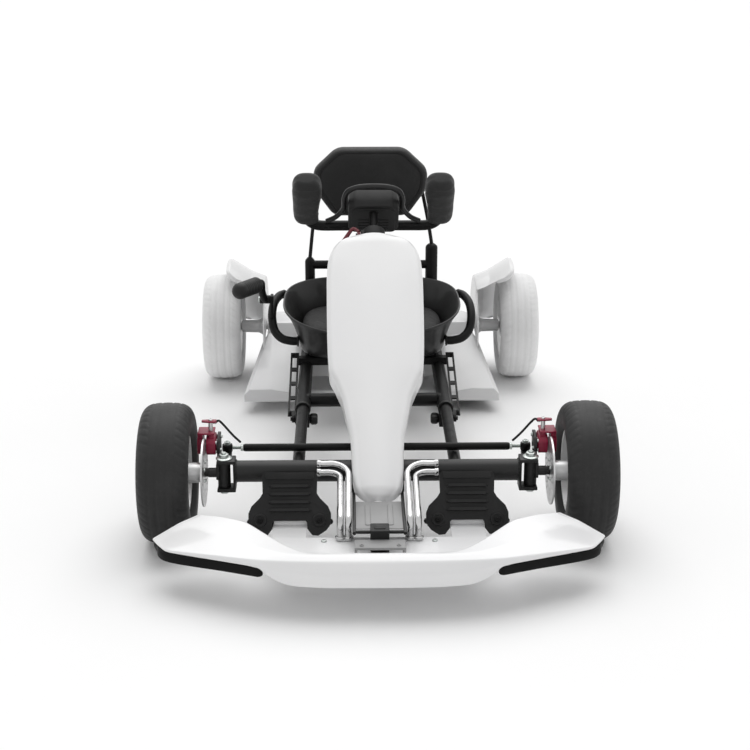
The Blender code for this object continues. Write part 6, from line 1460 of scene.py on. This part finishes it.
fender_parts = together(part_turn(arch_outline, -10.0, 130.0, 80, 12.0),
                        part_turn(inner_skin_outline, -9.0, 198.0, 96))
fender_screws = [cap_screw(AXLE + (0.2418, 0.094 * math.cos(turn), 0.094 * math.sin(turn)), ACROSS, 0.0036,
                           0.0024, 20) for turn in np.radians([20.0, 65.0, 110.0, 160.0])]
axle_boot = turned_ring(rounded([(0.2424, 0.0084), (0.2424, 0.0210), (0.2460, 0.0210), (0.2560, 0.0150),
                                 (0.2955, 0.0135), (0.2955, 0.0084)], 0.0015, 3), AXLE, ACROSS, 48)
for side, flip in SIDES:
    dressed(f"fender_{side}", flip(fender_parts), "shell_pale", "rear_body", 40.0)
    new_piece(f"axle_boot_{side}", flip(axle_boot), "motor_pale", "rear_body")
    new_piece(f"fender_screws_{side}", flip(together(*fender_screws)), "zinc", "rear_body")
print("fender faces:", len(fender_parts[1]))

# %% Lid, louvres and charge cap on the drive cover
lid = slab(rectangle(-0.092, 0.872, 0.092, 0.946, 0.008, 5), upright, 0.1379, 0.1396, 0.0012)
lid_screws = [cap_screw((x, y, 0.1394), UPWARD, 0.0034, 0.0022, 20) for x in (-0.082, 0.082)
              for y in (0.882, 0.936)]
strap_screws = [cap_screw((x, y, 0.1421), UPWARD, 0.0050, 0.0034, 24) for x in (0.118, 0.150)
                for y in (0.880, 0.932)]
back_up = unit(np.array([0.0, -0.79, 1.0]))
back_out = unit(np.array([0.0, 1.0, 0.79]))
on_back = frame_at((0.0, 0.9547, 0.138), ACROSS, -back_up, back_out)
louvres = [slab(rectangle(-0.075, 0.034 + 0.013 * i, 0.075, 0.0385 + 0.013 * i, 0.0018, 3), on_back, -0.0004,
                0.0016, 0.0008) for i in range(5)]
charge_cap = together(slab(round_section(0.0125, 40) + (0.150, 0.062), on_back, -0.0004, 0.0030, 0.0014),
                      slab(rectangle(0.1435, 0.046, 0.1565, 0.056, 0.003, 4), on_back,
                           -0.0004, 0.0018, 0.0008))
new_piece("cover_lid", lid, "shell_pale", "rear_body")
new_piece("cover_louvres", together(*louvres, charge_cap), "knob_grey", "rear_body")
new_piece("cover_screws", together(*lid_screws, *paired(strap_screws)), "zinc", "rear_body")
print("louvres:", len(louvres))

# %% Hub motors
motor_profile = rounded([(-0.038, 0.0083), (0.040, 0.0083), (0.040, 0.0235), (0.0315, 0.030), (0.0275, 0.062),
                         (0.036, 0.069), (0.036, 0.0772), (-0.036, 0.0772), (-0.036, 0.070), (-0.030, 0.032),
                         (-0.038, 0.020)], 0.0022, 3)
motor = turned_ring(motor_profile, REAR_WHEEL, ACROSS, 96)
motor_fins = [slab(rounded([(0.031, -0.0016), (0.060, -0.0024), (0.060, 0.0024), (0.031, 0.0016)], 0.0008, 2),
                   frame_at(REAR_WHEEL, (0, math.cos(turn), math.sin(turn)),
                            (0, -math.sin(turn), math.cos(turn)), ACROSS), 0.0262, 0.0322, 0.0010)
              for turn in np.arange(10) * TAU / 10]
motor_screws = [cap_screw(REAR_WHEEL + (0.0386, 0.0160 * math.cos(turn), 0.0160 * math.sin(turn)), ACROSS,
                          0.0030, 0.0026, 16) for turn in np.arange(6) * TAU / 6]
for side, flip in SIDES:
    dressed(f"hub_motor_{side}", flip(together(motor, *motor_fins)), "motor_pale", f"{side}_rear_wheel", 35.0)
    new_piece(f"hub_motor_screws_{side}", flip(together(*motor_screws)), "zinc", f"{side}_rear_wheel")
print("motor fins:", len(motor_fins))

# %% [markdown]
# ## Hand brake
# A lever on the driver's right turns on the hoop's pin. Its round grip has shallow rings, so a gloved hand
# holds it. The grip is one turned bar, with the rings as a square wave in its radius.

# %% Brake lever and grip
grip_base, grip_tip = np.array([-0.2390, 0.6020, 0.2990]), np.array([-0.2710, 0.5420, 0.3020])
grip_heading = unit(grip_tip - grip_base)
brake_hub = turned_ring(rounded([(-0.0117, 0.0043), (0.0107, 0.0043), (0.0107, 0.0090), (-0.0117, 0.0090)],
                                0.0012, 3), BRAKE_PIVOT, ACROSS, 40)
arm_route = smooth_path([BRAKE_PIVOT + (-0.002, -0.006, 0.003), (-0.2290, 0.640, 0.260),
                         (-0.2320, 0.624, 0.279), grip_base - grip_heading * 0.014,
                         grip_base - grip_heading * 0.0004], 8)
brake_arm = rod(arm_route, 0.0080, (1, 0, 0.2), 24)
dressed("brake_arm", together(brake_hub, brake_arm), "frame_black", "hand_brake")
grip_length = float(np.linalg.norm(grip_tip - grip_base)) + 0.017
reach = np.linspace(0.0, 1.0, 90)
round_off = np.sqrt(np.clip(1.0 - np.clip((reach - 0.80) / 0.20, 0.0, 1.0) ** 2.2, 0.02, 1.0))
flare = np.clip(0.62 + reach / 0.06 * 0.38, 0.0, 1.0)
rings = 1.0 - 0.035 * (np.cos(reach * grip_length / 0.0062 * TAU) > 0.5) * (reach > 0.15) * (reach < 0.74)
grip_profile = np.column_stack([reach * grip_length, 0.017 * flare * round_off * rings])
dressed("brake_grip", turned_bar(grip_profile, grip_base, grip_heading, 40), "hard_black", "hand_brake", 50.0)
print("drive unit and brake dressed")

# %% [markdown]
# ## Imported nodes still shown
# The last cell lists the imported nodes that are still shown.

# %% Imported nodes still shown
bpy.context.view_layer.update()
bare = [name for name, node in nodes.items() if not node.hide_render and not node.hide_get()]
print("packed nodes still shown:", bare)
